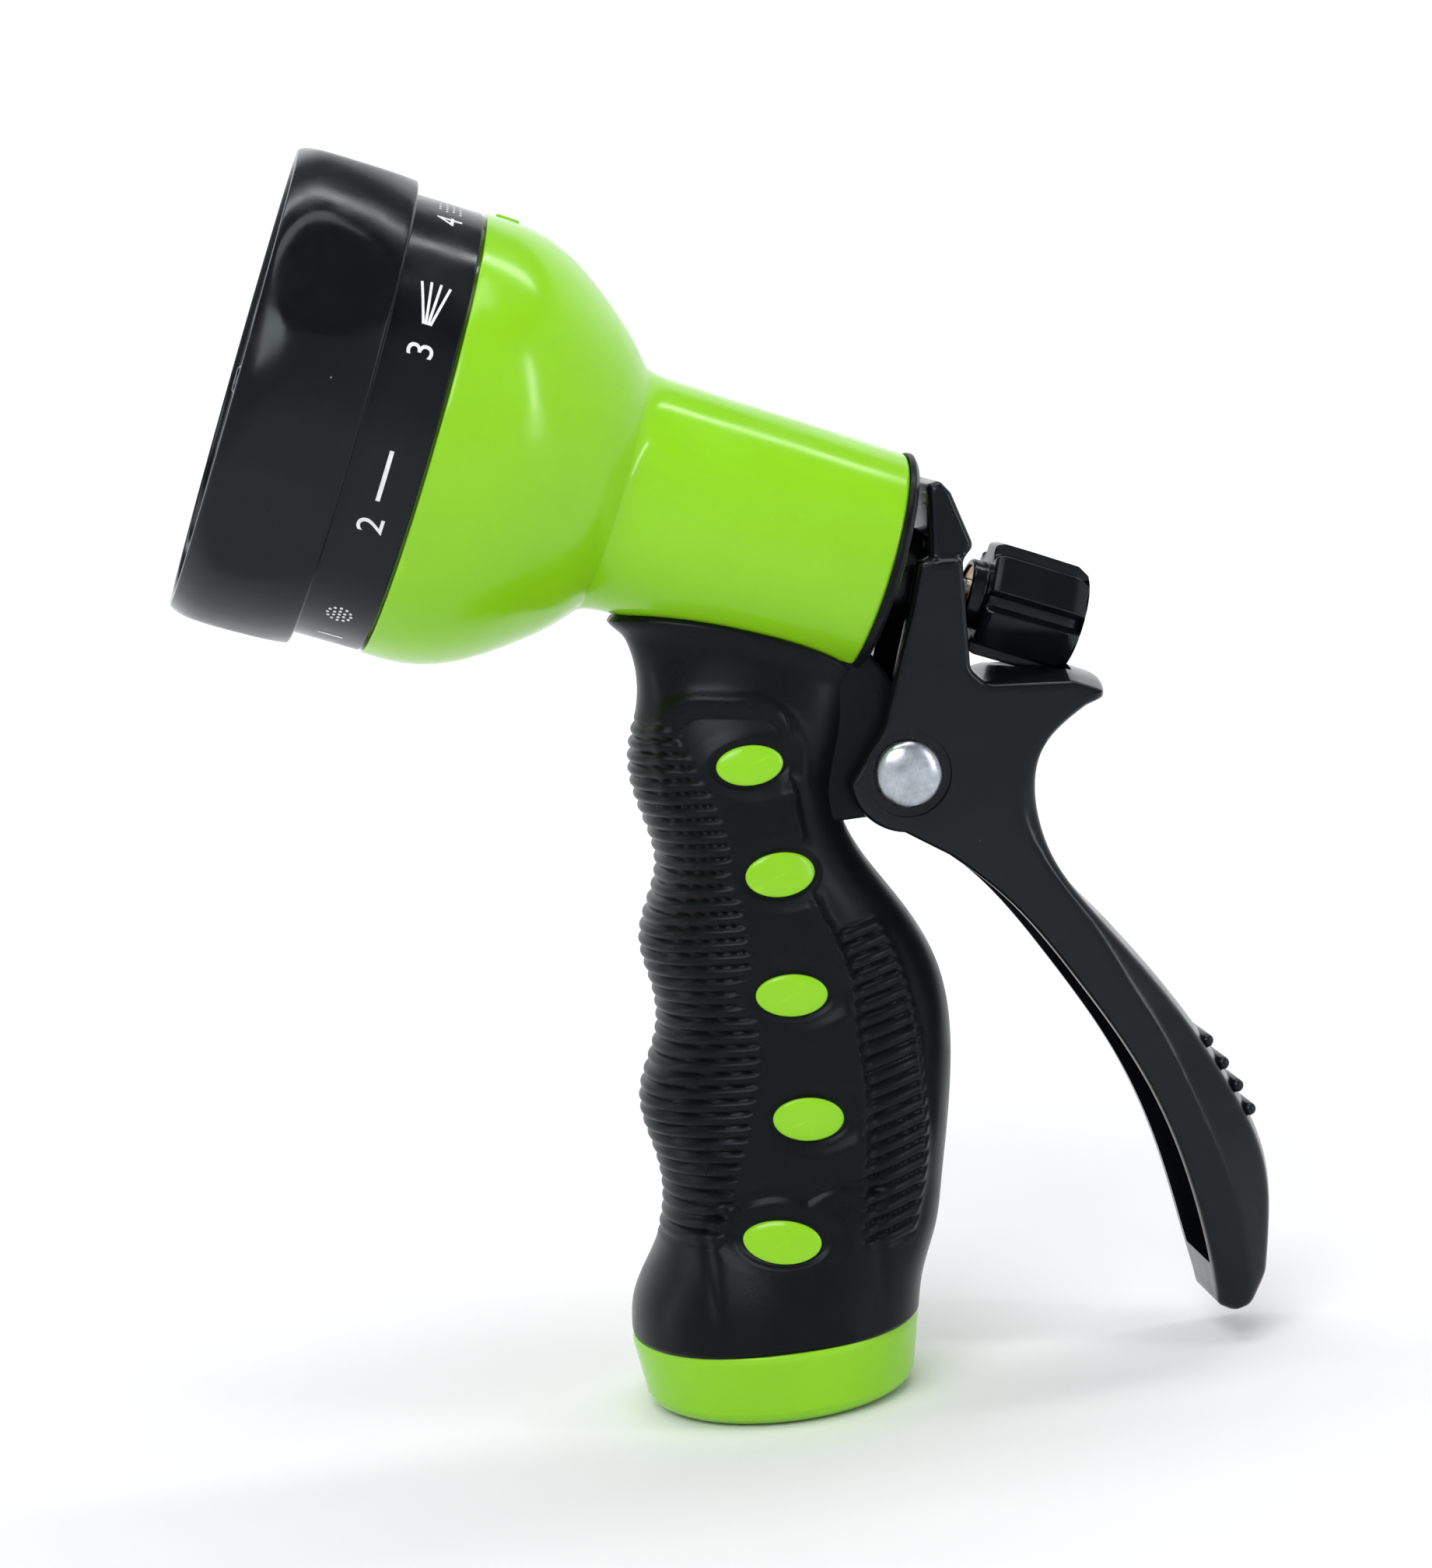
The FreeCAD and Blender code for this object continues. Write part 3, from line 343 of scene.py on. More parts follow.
def plate(outline, half_at, edge, grain, strips=6, crown=None):
    """A plate across the gun whose half width varies over its outline, with rounded edges.

    half_at(x, z) gives the half width; crown(border) bulges the edge wall outwards at its middle.
    """
    border = spaced(outline, 0.6)
    seeds = [border]
    for degrees in (30, 60, 90):
        setback = edge * (1 - math.cos(math.radians(degrees)))
        for side in (-1, 1):
            moved = border + side * setback * lefts(border)
            keep = inside(border, moved) & (distance_to(border, moved) > 0.97 * setback)
            seeds.append(moved[keep])
    low, high = border.min(0), border.max(0)
    across = np.arange(low[0], high[0], grain)
    up = np.arange(low[1], high[1], grain * 0.866)
    lattice = np.array([(x + (row % 2) * grain / 2, z) for row, z in enumerate(up) for x in across])
    lattice = lattice[inside(border, lattice)]
    lattice = lattice[distance_to(border, lattice) > edge + 0.35 * grain]
    seeds.append(lattice)
    seeds = np.concatenate(seeds)
    count = len(border)
    rim = [(index, (index + 1) % count) for index in range(count)]
    flat, _, triangles, *_ = delaunay_2d_cdt([Vector(p) for p in seeds], rim, [list(range(count))],
                                             1, 1e-6)
    flat = np.array([tuple(p) for p in flat])
    depth = np.minimum(distance_to(border, flat), edge)
    depth[depth < 1e-3] = 0.0       # so that the sides weld to the edge wall
    half = half_at(*flat.T) - edge + np.sqrt(np.maximum(edge ** 2 - (edge - depth) ** 2, 0))
    near, far = prism_points(flat, half)
    shell = Shell()
    shell.add(near, triangles)
    shell.add(far, [triangle[::-1] for triangle in triangles])
    # the wall round the edge, from the near side to the far side
    half = half_at(*border.T) - edge
    out = -lefts(border)
    if inside(border, border[:1] + 0.01 * out[:1])[0]:
        out = -out
    swell = crown(border)[:, None] if crown else 0
    rows = []
    for share in np.linspace(-1, 1, strips + 1):
        moved = border + out * swell * (1 - share ** 2)
        rows.append(np.stack([moved[:, 0], share * half, moved[:, 1]], -1))
    shell.grid(np.array(rows))
    return shell


def carve(target, cutters):
    """Cut closed shells out of an object."""
    for cutter in cutters:
        tool = cutter.loose_object("carving_tool")
        step = target.modifiers.new("carve", "BOOLEAN")
        step.operation = "DIFFERENCE"
        step.solver = "EXACT"
        step.object = tool
        mesh = bpy.data.meshes.new_from_object(
            target.evaluated_get(bpy.context.evaluated_depsgraph_get()))
        target.modifiers.clear()
        target.data = mesh
        bpy.data.objects.remove(tool)


# ---------------------------------------------------------------- materials

class Nodes:
    """A small hand for building a material's nodes."""

    def __init__(self, name):
        self.material = bpy.data.materials.new(name)
        self.material.use_nodes = True
        self.tree = self.material.node_tree
        self.tree.nodes.clear()
        self.output = self.add("ShaderNodeOutputMaterial")
        self.shader = self.add("ShaderNodeBsdfPrincipled")
        self.link(self.shader, "BSDF", self.output, "Surface")
        self.place = self.add("ShaderNodeTexCoord")

    def add(self, kind, values=None, **settings):
        node = self.tree.nodes.new(kind)
        for key, value in settings.items():
            setattr(node, key, value)
        self.give(node, values or {})
        return node

    def give(self, node, values):
        """Set a node's unlinked inputs."""
        for key, value in values.items():
            node.inputs[key].default_value = value

    def link(self, source, out, target, into):
        self.tree.links.new(source.outputs[out], target.inputs[into])

    def noise(self, scale, detail=3.0, rough=0.55, stretch=None):
        """Noise over the object's own metres; scale is features per metre."""
        node = self.add("ShaderNodeTexNoise",
                        {"Scale": scale, "Detail": detail, "Roughness": rough})
        source, out = self.place, "Object"
        if stretch:
            source, out = self.add("ShaderNodeMapping", {"Scale": stretch}), "Vector"
            self.link(self.place, "Object", source, "Vector")
        self.link(source, out, node, "Vector")
        return node

    def spread(self, source, low, high, to_low, to_high, out="Fac"):
        """A number moved from one range to another."""
        node = self.add("ShaderNodeMapRange", {"From Min": low, "From Max": high,
                                               "To Min": to_low, "To Max": to_high})
        self.link(source, out, node, "Value")
        return node

    def colours(self, source, stops):
        node = self.add("ShaderNodeValToRGB")
        ramp = node.color_ramp
        while len(ramp.elements) < len(stops):
            ramp.elements.new(0.5)
        for element, (at, colour) in zip(ramp.elements, stops):
            element.position = at
            element.color = (*colour, 1)
        self.link(source, "Fac", node, "Fac")
        return node

    def bump(self, source, strength, distance, after=None):
        node = self.add("ShaderNodeBump", {"Strength": strength, "Distance": distance})
        self.link(source, "Fac", node, "Height")
        if after:
            self.link(after, "Normal", node, "Normal")
        return node

    def mix(self, factor, first, second):
        """One colour over another; each of the three is (node, output)."""
        node = self.add("ShaderNodeMix", data_type="RGBA")
        for (source, out), into in ((factor, "Factor"), (first, "A"), (second, "B")):
            self.link(source, out, node, into)
        return node

    def finish(self, colour, out, gloss, normal, **values):
        """Lead colour, gloss and relief to the shader, and set its other inputs."""
        self.link(colour, out, self.shader, "Base Color")
        self.link(gloss, "Result", self.shader, "Roughness")
        self.link(normal, "Normal", self.shader, "Normal")
        self.give(self.shader, {key.replace("_", " "): value for key, value in values.items()})
        return self.material


def tinted(colour, factor):
    return tuple(min(1.0, channel * factor) for channel in colour)


PLAIN = (1.0, 1.0, 1.0, 1.0)
COOL = (0.84, 0.94, 1.0, 1.0)   # the blacks mirror a bluish room


def moulded(name, colour, rough, spread, wear, speck=0.0, index=1.42, sky=PLAIN):
    """Moulded plastic: slight colour drift, smudged gloss, flow ripple, fine scuffs, worn edges."""
    make = Nodes(name)
    drift = make.noise(38, 4, 0.6)
    tone = make.colours(drift, [(0.3, tinted(colour, 1 - spread)), (0.7, tinted(colour, 1 + spread))])
    worn = make.spread(make.add("ShaderNodeNewGeometry"), 0.52, 0.62, 0.0, wear, "Pointiness")
    bare = tuple(min(1.0, channel * 1.25 + 0.03) for channel in colour)
    pale = make.colours(drift, [(0.0, tinted(colour, 1.5)), (1.0, bare)])
    surface = make.mix((worn, "Result"), (tone, "Color"), (pale, "Color"))
    if speck:
        dust = make.add("ShaderNodeTexVoronoi", {"Scale": 120})
        make.link(make.place, "Object", dust, "Vector")
        dots = make.spread(dust, 0.012, 0.024, speck, 0.0, "Distance")
        chalk = make.colours(drift, [(0.0, (0.42, 0.43, 0.45)), (1.0, (0.55, 0.56, 0.58))])
        surface = make.mix((dots, "Result"), (surface, "Result"), (chalk, "Color"))
    gloss = make.spread(make.noise(95, 5, 0.62), 0.32, 0.72, rough * 0.70, rough * 1.70)
    ripple = make.bump(make.noise(70, 2, 0.4), 0.16, 0.0010)
    scuff = make.bump(make.noise(900, 2, 0.5, (1.0, 0.12, 0.35)), 0.05, 0.00012, ripple)
    fine = make.bump(make.noise(2600, 2, 0.5), 0.06, 0.00008, scuff)
    return make.finish(surface, "Result", gloss, fine, IOR=index, Specular_Tint=sky)


def rubbery(name, colour, rough, grain=3400):
    """Soft-touch rubber: pebbled skin, dusty sheen, handled patches."""
    make = Nodes(name)
    patch = make.noise(55, 4, 0.6)
    tone = make.colours(patch, [(0.25, tinted(colour, 0.8)), (0.55, colour),
                                (0.8, tinted(colour, 1.35))])
    rubbed = make.spread(make.add("ShaderNodeNewGeometry"), 0.51, 0.60, 0.0, 0.35, "Pointiness")
    pale = make.colours(patch, [(0.0, tinted(colour, 1.9)), (1.0, tinted(colour, 2.4))])
    surface = make.mix((rubbed, "Result"), (tone, "Color"), (pale, "Color"))
    gloss = make.spread(make.noise(120, 4, 0.6), 0.3, 0.72, rough * 0.8, rough * 1.3)
    skin = make.bump(make.noise(grain, 3, 0.55), 0.16, 0.00010)
    waves = make.bump(make.noise(240, 2, 0.4), 0.03, 0.0004, skin)
    return make.finish(surface, "Result", gloss, waves, IOR=1.23, Specular_Tint=COOL,
                       Sheen_Weight=0.02, Sheen_Roughness=0.4)


def metal(name, colour, rough, marks=(1.0, 1.0, 1.0), depth=0.06, blotch=0.12):
    """Bare metal: tool marks along one way, handling blotches, soft dents."""
    make = Nodes(name)
    cloud = make.noise(420, 4, 0.6)
    tone = make.colours(cloud, [(0.25, tinted(colour, 1 - blotch)),
                                (0.75, tinted(colour, 1 + blotch / 2))])
    gloss = make.spread(make.noise(700, 3, 0.6), 0.3, 0.75, rough * 0.7, rough * 1.6)
    dents = make.bump(make.noise(300, 2, 0.5), 0.10, 0.0005)
    lines = make.bump(make.noise(5200, 2, 0.5, marks), depth, 0.00006, dents)
    return make.finish(tone, "Color", gloss, lines, Metallic=1.0)


def painted(name, colour, rough):
    """Pad-printed ink: nearly flat, with thin patches."""
    make = Nodes(name)
    thin = make.noise(900, 3, 0.6)
    tone = make.colours(thin, [(0.3, tinted(colour, 0.82)), (0.6, colour)])
    gloss = make.spread(make.noise(300, 2, 0.5), 0.3, 0.7, rough * 0.8, rough * 1.2)
    return make.finish(tone, "Color", gloss, make.bump(thin, 0.1, 0.00005))


GREEN = (0.250, 0.590, 0.010)
BLACK = (0.0036, 0.0042, 0.0052)

green_gloss = moulded("green_gloss_plastic", GREEN, 0.17, 0.05, 0.25)
black_gloss = moulded("black_gloss_plastic", BLACK, 0.17, 0.12, 0.30, speck=0.35, index=1.34, sky=COOL)
face_satin = moulded("face_satin_plastic", (0.013, 0.0135, 0.015), 0.34, 0.10, 0.2)
inner_white = moulded("inner_white_plastic", (0.60, 0.61, 0.59), 0.38, 0.04, 0.1)
soft_black = rubbery("soft_grip_rubber", (0.0034, 0.0040, 0.0047), 0.31)
seal_black = rubbery("seal_rubber", (0.016, 0.016, 0.016), 0.62, grain=5200)
bright_steel = metal("bright_rivet_steel", (0.50, 0.53, 0.58), 0.27, blotch=0.40)
spring_steel = metal("drawn_spring_steel", (0.52, 0.53, 0.55), 0.28, (0.2, 1.0, 1.0), 0.12)
turned_brass = metal("turned_brass", (0.72, 0.50, 0.20), 0.24, (1.0, 1.0, 0.1), 0.12)
white_ink = painted("white_print", (0.80, 0.81, 0.82), 0.45)

NODE_FINISH = {
    inner_white: ("outlet_plate", "chamber_disc", "detent_pin"),
    seal_black: ("inlet_washer", "valve_seat", "port_seal", "plate_oring", "gland_washer",
                 "gland_oring", "poppet_washer"),
    spring_steel: ("port_spring", "detent_spring", "dial_washer", "dial_screw"),
    bright_steel: ("valve_stem",),
    turned_brass: ("poppet_nut", "knob_insert"),
    black_gloss: ("gland_nut",),
}


def finish_cad_nodes():
    for material, names in NODE_FINISH.items():
        for name in names:
            finish_mesh(frame["nodes"][name].data, material, 30)


# ---------------------------------------------------------------- dial

BAND_RADIUS = 30.8
BAND_START = 16.9
BAND_END = 26.5
BEZEL_FLAT = 32.5           # from the axis to the middle of each of the bezel's six flats
MOUTH_RADIUS = 30.3


def bezel_radius(radius, angle, height):
    """Six soft flats on the bezel; the band behind it and the bore stay round."""
    from_middle = (angle + math.pi / 6) % (math.pi / 3) - math.pi / 6
    flat = BEZEL_FLAT / np.cos(from_middle)
    on_bezel = (radius > MOUTH_RADIUS + 0.6) & (height < BAND_START + 0.05)
    return np.where(on_bezel, soft_min(radius, flat + 0 * radius, 0.35), radius)


def make_dial_shell():
    crown = sharp_curve([(32.35, 1.1), (33.15, 2.9), (33.58, 5.6), (33.5, 9.4), (33.15, 13.4),
                         (32.7, 16.0)], 0.9)
    profile = rounded([(MOUTH_RADIUS, 0.35, 0.4), (31.9, 0.35, 0.45)] + crown + [
        (32.5, BAND_START + 0.05, 0.5), (BAND_RADIUS, BAND_START + 0.05, 0.25),
        (BAND_RADIUS, BAND_END, 0.3), (29.25, BAND_END, 0.3), (29.25, 18.6, 0.3),
        (25.9, 18.6, 0.3), (25.9, 16.4, 0.3), (MOUTH_RADIUS, 16.4, 0.3)])
    shell = Shell().lathe(profile, steps=288, radius_at=bezel_radius)
    return shell.object("dial_bezel", black_gloss, "dial", "black_plastic", ["dial_shell"])


def flat_dots(centres, radius, sides=14):
    """Round dots as (points, faces) on a flat sheet."""
    points = np.concatenate([circle(radius, sides, centre) for centre in centres])
    return points, [tuple(range(start, start + sides)) for start in range(0, len(points), sides)]


def flat_bars(ends, half):
    """Straight strokes as (points, faces) on a flat sheet, cut up so that they can bend."""
    points, faces = [], []
    for (x0, y0), (x1, y1) in ends:
        way = np.array([x1 - x0, y1 - y0], float)
        pieces = max(1, int(np.linalg.norm(way) / 0.5))
        side = half * np.array([-way[1], way[0]]) / np.linalg.norm(way)
        start = len(points)
        for piece in range(pieces + 1):
            spot = np.array([x0, y0]) + way * piece / pieces
            points += [tuple(spot - side), tuple(spot + side)]
        for piece in range(pieces):
            corner = start + 2 * piece
            faces.append((corner, corner + 2, corner + 3, corner + 1))
    return points, faces


def fan(count, reach, spread_degrees):
    """Strokes that open out from the left, a fan of water."""
    angles = np.radians(np.linspace(-spread_degrees, spread_degrees, count))
    return [((0.0, 0.25 * math.sin(a) * reach), (reach * math.cos(a), reach * math.sin(a)))
            for a in angles]


def mode_signs():
    """A plain sign for each of the eight sprays, about 9 mm long, centred on its height."""
    rose = [(4.2 + x, y) for radius, count in ((0, 1), (1.0, 6), (2.0, 12))
            for x, y in circle(radius, count)]
    rain = [(1.3 * c + 0.65 * (r % 2), 1.15 * (r - 1.5)) for r in range(4) for c in range(7)]
    lines = [((0.0, y), (8.4, y)) for y in (1.5, 0.0, -1.5)]
    wave = [((0.9 * k, 0.8 * (-1) ** k), (0.9 * (k + 1), -0.8 * (-1) ** k)) for k in range(9)]
    beads = [(1.05 * k, 0.0) for k in range(9)]
    cone = [((0.0, 0.0), (8.2, 2.0)), ((8.2, 2.0), (8.2, -2.0)), ((8.2, -2.0), (0.0, 0.0))]
    return [flat_dots(rose, 0.27), flat_bars([((0.0, 0.0), (8.6, 0.0))], 0.36),
            flat_bars(fan(4, 8.2, 17), 0.22), flat_dots(rain, 0.24), flat_bars(lines, 0.27),
            flat_bars(wave, 0.27), flat_dots(beads, 0.36), flat_bars(cone, 0.27)]


def numeral(text, height):
    """The outline of a plain numeral as (points, faces), lying flat with its left edge at 0."""
    curve = bpy.data.curves.new("numeral", "FONT")
    curve.body = text
    curve.size = height / 0.70
    curve.resolution_u = 4
    flat = bpy.data.objects.new("numeral", curve)
    bpy.context.scene.collection.objects.link(flat)
    mesh = bpy.data.meshes.new_from_object(flat)
    points = np.array([v.co[:2] for v in mesh.vertices])
    faces = [tuple(face.vertices) for face in mesh.polygons]
    bpy.data.objects.remove(flat)
    points[:, 0] -= points[:, 0].min()
    points[:, 1] -= (points[:, 1].max() + points[:, 1].min()) / 2
    return points, faces


PRINT_HEIGHT = 3.5
SIGN_SCALE = 0.8
SIGN_PLACE = 4.6            # how far along from its numeral's left edge a sign begins
PRINT_THICKNESS = 0.06
PRINT_SUNK = 0.05
MODES = 8
# where the first numeral starts, from straight down; the marks stand between two clicks
MARK_START = math.radians(-18.6)


def make_dial_marks():
    """The ring of numbers and signs printed round the band, read upwards on the near side."""
    shell = Shell()
    middle = (BAND_START + BAND_END) / 2 + 0.1
    for index, sign in enumerate(mode_signs()):
        start = MARK_START - 2 * math.pi * index / MODES
        for (points, faces), scale, along in ((numeral(str(index + 1), PRINT_HEIGHT), 1.0, 0.0),
                                              (sign, SIGN_SCALE, SIGN_PLACE)):
            points = scale * np.array(points, float)
            angle = start - (points[:, 0] + along) / BAND_RADIUS
            low, high = (head_points(BAND_RADIUS + lift, angle, middle - points[:, 1])
                         for lift in (-PRINT_SUNK, PRINT_THICKNESS))
            shell.slab(low, high, faces)
    return shell.object("dial_marks", white_ink, "dial", None, sharp=30)


FACE_RADIUS = 30.15
FACE_FRONT = 1.7            # behind the dial's front edge
FACE_BACK = 3.7
CAP_HOLE_RADIUS = 6.0


def polar_point(radius, angle):
    return radius * math.cos(angle), radius * math.sin(angle)


# Each spray's outlets: rows of round holes (radius on the face, how many, hole radius, the row's
# spread in radians) and slots (radius and turn of both ends, half width).
HOLE_ROWS = {
    0: [(radius, count, 0.55, 0.62) for radius, count in (
        (10.8, 4), (14.6, 6), (18.4, 7), (22.2, 9), (26.0, 10))],
    1: [(17.0, 1, 1.9, 0)],
    2: [(radius, 3, 1.3, 0.42) for radius in (12.0, 18.0, 24.0)],
    3: [(radius, count, 0.42, 0.55) for radius, count in (
        (11.5, 3), (16.0, 4), (20.5, 5), (25.0, 6))],
    5: [(21.5, 2, 1.5, 0.34), (14.0, 1, 2.4, 0)],
    6: [(radius, 1, 0.9, 0) for radius in (11.5, 15.0, 18.5, 22.0, 25.5)],
}
SLOTS = {
    4: [(radius, -0.22, radius, 0.22, 0.55) for radius in (11.5, 16.0, 20.5, 25.0)],
    7: [(11.5, turn, 25.5, turn, 0.6) for turn in (-0.16, 0.0, 0.16)],
}


def face_holes():
    """The outlets of the eight sprays, each in its own eighth of the face, as closed outlines."""
    holes = []
    for mode in range(MODES):
        middle = 2 * math.pi * mode / MODES
        for radius, count, hole, spread in HOLE_ROWS.get(mode, []):
            for k in range(count):
                turn = spread * (k / (count - 1) - 0.5) if count > 1 else 0
                holes.append(circle(hole, 16, polar_point(radius, middle + turn)))
        for near, near_turn, far, far_turn, half in SLOTS.get(mode, []):
            holes.append(slot_outline(polar_point(near, middle + near_turn),
                                      polar_point(far, middle + far_turn), half))
    return holes


def slot_outline(start, end, half):
    start, end = np.array(start), np.array(end)
    heading = math.atan2(*(end - start)[::-1])
    points = []
    for centre, first in ((end, heading - math.pi / 2), (start, heading + math.pi / 2)):
        points += [centre + np.array(polar_point(half, first + math.pi * step / 8)) for step in range(9)]
    return np.array(points)


def make_face_plate():
    """The recessed face with real holes through it."""
    outlines = [circle(FACE_RADIUS, 200), circle(CAP_HOLE_RADIUS, 60)] + face_holes()
    points, rims, loops = [], [], []
    for outline in outlines:
        loop = list(range(len(points), len(points) + len(outline)))
        points += [Vector(p) for p in outline]
        rims += zip(loop, loop[1:] + loop[:1])
        loops.append(loop)
    flat, _, triangles, *_ = delaunay_2d_cdt(points, rims, loops, 5, 1e-6)
    flat = np.array([tuple(p) for p in flat])
    radius, angle = np.hypot(*flat.T), np.arctan2(flat[:, 1], flat[:, 0])
    shell = Shell().slab(head_points(radius, angle, FACE_BACK), head_points(radius, angle, FACE_FRONT),
                         [tuple(triangle) for triangle in triangles])
    return shell.object("spray_face", face_satin, "dial", "face_plastic", ["face_plate"], sharp=25)


def make_face_trim():
    """Raised ribs between the eighths of the face, a ring round its middle and one at its edge."""
    shell = Shell()
    for inner, outer, front, fillet, steps in ((29.0, 30.1, 1.15, 0.2, 200), (7.6, 8.5, 1.1, 0.25, 120)):
        shell.lathe(rounded([(inner, front, 0.25), (outer, front, fillet),
                             (outer, 1.9, 0.1), (inner, 1.9, 0.1)]), steps=steps)
    half_width, half_height = 0.38, 0.32
    section = rounded([(-half_width, -half_height, 0.15), (half_width, -half_height, 0.15),
                       (half_width, half_height, 0.05), (-half_width, half_height, 0.05)])
    side = section[:, 0]
    for mode in range(MODES):
        middle = 2 * math.pi * (mode + 0.5) / MODES
        rows = [head_points(np.hypot(radius, side), middle + np.arctan2(side, radius),
                            FACE_FRONT - 0.25 + section[:, 1]) for radius in np.linspace(8.2, 29.3, 12)]
        shell.grid(np.array(rows), cap=True)
    return shell.object("face_trim", face_satin, "dial", "face_plastic", sharp=30)


def make_centre_cap():
    profile = rounded([(0.0, 0.55, 0), (1.6, 0.55, 0), (1.9, 0.85, 0.2), (4.6, 0.98, 0.6),
                       (5.9, 1.9, 0.7), (5.9, 3.7, 0.0), (0.0, 3.7, 0.0)])
    shell = Shell().lathe(profile, steps=96)
    return shell.object("centre_button", black_gloss, "dial", "black_plastic", ["centre_cap"])


# ---------------------------------------------------------------- bell and body

BARREL_FRONT_RADIUS = 16.6
BARREL_RADIUS = 15.9
NECK_HEIGHT = 54.6
BARREL_END = 92.0
TAIL_RADIUS = 11.2
TAIL_END = 94.3
LUG_HALF = 6.7
BELL_OUTSIDE = [(31.0, 27.3), (31.05, 29.5), (30.8, 33.0), (29.7, 37.3), (27.4, 41.9),
                (24.2, 46.4), (20.9, 50.4), (18.0, 53.1)]


def make_bell():
    profile = rounded([(28.95, 19.0, 0.3), (28.95, 26.9, 0.0), (30.9, 26.9, 0.35)]
                      + sharp_curve(BELL_OUTSIDE, 1.0)
                      + [(16.4, 54.45, 0.3), (13.35, 54.5, 0.1), (13.35, 49.5, 0.2),
                         (7.6, 49.5, 0.3), (18.6, 42.0, 3.0), (24.8, 36.0, 3.0), (27.4, 28.1, 0.5),
                         (26.95, 22.6, 0.2), (26.95, 19.0, 0.3)])
    shell = Shell().lathe(profile, steps=240)
    add_pointer(shell)
    return shell.object("bell", green_gloss, "gun", "green_plastic", ["bell_housing"])


def add_pointer(shell):
    """A small raised arrowhead on top of the bell, which marks the chosen spray."""
    outline = rounded([(-1.7, 31.6, 0.3), (0.0, 28.0, 0.25), (1.7, 31.6, 0.3)])
    centre = outline.mean(0)
    bell_radius, bell_height = np.transpose(BELL_OUTSIDE)
    rows = []
    for lift, shrink in ((-0.6, 1.0), (0.28, 1.0), (0.38, 0.86)):
        across, height = (centre + (outline - centre) * shrink).T
        radius = np.interp(height, bell_height, bell_radius) + lift
        rows.append(head_points(radius, math.pi + across / 31.0, height))
    shell.grid(np.array(rows), cap=True)


def barrel_radius(height):
    """The barrel draws in slightly from the neck to its rear end."""
    share = (height - NECK_HEIGHT) / (BARREL_END - 1 - NECK_HEIGHT)
    return BARREL_FRONT_RADIUS + share * (BARREL_RADIUS - BARREL_FRONT_RADIUS)


def barrel_profile():
    flare = sharp_curve([(18.2, 52.5), (17.35, 53.7), (16.85, 55.0), (16.62, 56.6),
                         (barrel_radius(59.0), 59.0)], 0.4)
    return ([(13.3, 49.6, 0.3), (13.3, 54.0, 0.0)] + flare
            + [(barrel_radius(70.0), 70.0, 0), (BARREL_RADIUS, BARREL_END, 0.8),
               (TAIL_RADIUS, BARREL_END, 0.3), (TAIL_RADIUS, TAIL_END, 0.5),
               (9.7, TAIL_END, 0.2), (9.7, 86.0, 0.1), (9.0, 86.0, 0.1), (9.0, 57.0, 0.3),
               (4.6, 57.0, 0.3), (4.6, 49.6, 0.3)])


COLLAR_HEIGHT = 10.3
THREAD_PITCH = 25.4 / 14
THREAD_MINOR = 12.06
THREAD_DEPTH = 1.1


def thread_radius(radius, angle, height):
    """The hose thread's grooves, cut outwards from its minor radius in a rising turn."""
    groove = 0.5 - 0.5 * np.cos(2 * math.pi * (height / THREAD_PITCH - angle / (2 * math.pi)))
    ends = smoothstep(0.9, 1.7, height) * (1 - smoothstep(9.6, 10.4, height))
    on_bore = np.abs(radius - THREAD_MINOR) < 0.01
    return radius + on_bore * THREAD_DEPTH * groove ** 0.8 * ends


def collar_profile():
    """The hose collar with the threaded bore, on the grip's own axis."""
    bore = [(THREAD_MINOR, height, 0) for height in np.arange(10.9, 0.55, -0.15)]
    return [(THREAD_MINOR + 0.7, 0.0, 0.4), (17.0, 0.0, 1.1), (18.35, 0.9, 0.9), (19.0, 1.9, 1.0),
            (20.3, COLLAR_HEIGHT - 0.9, 0.4), (20.25, COLLAR_HEIGHT, 0.25),
            (18.6, COLLAR_HEIGHT + 0.1, 0.1), (18.2, 13.5, 0.1), (11.8, 13.4, 0.0),
            (11.8, 11.0, 0.1)] + bore


def make_body():
    """The green moulding: barrel, hose collar, handle core with its oval windows, pivot lug."""
    shell = Shell()
    shell.lathe(rounded(barrel_profile()), steps=224)
    shell.lathe(rounded(collar_profile()), upright_points, 192, thread_radius)
    around = np.linspace(0, 2 * math.pi, 64, endpoint=False)
    shell.grid(np.array([grip_ring(height, around, -2.5) for height in np.linspace(13.0, 108.0, 60)]),
               cap=True)
    shell.join(make_lug(0.0))
    for oval in OVALS:
        for side in (-1, 1):
            add_oval(shell, oval, side)
    return shell.object("green_body", green_gloss, "gun", "green_plastic", ["gun_body"], sharp=38)


def make_lug(grow):
    """The pivot lug between the barrel's rear end and the grip, or a skin that stands off it."""
    outline = rounded([(6.0, 82.4 - grow, 0), (PIVOT[0] - 1.0, PIVOT[2] - 4.4 - grow, 3.0),
                       (PIVOT[0] + 5.8 + grow, PIVOT[2] - 4.5, 4.0),
                       (PIVOT[0] + 5.6 + grow, PIVOT[2] + 4.5, 4.0),
                       (PIVOT[0] + grow, PIVOT[2] + 6.2 + grow, 3.0),
                       (19.0 + 3.0 * grow, 100.6, 1.5), (17.4 + 1.8 * grow, 106.0, 0),
                       (6.0, 108.0, 0)])
    return plate(outline, lambda x, z: LUG_HALF + grow + 0 * x, edge=0.7, grain=3.0)


# ---------------------------------------------------------------- grip

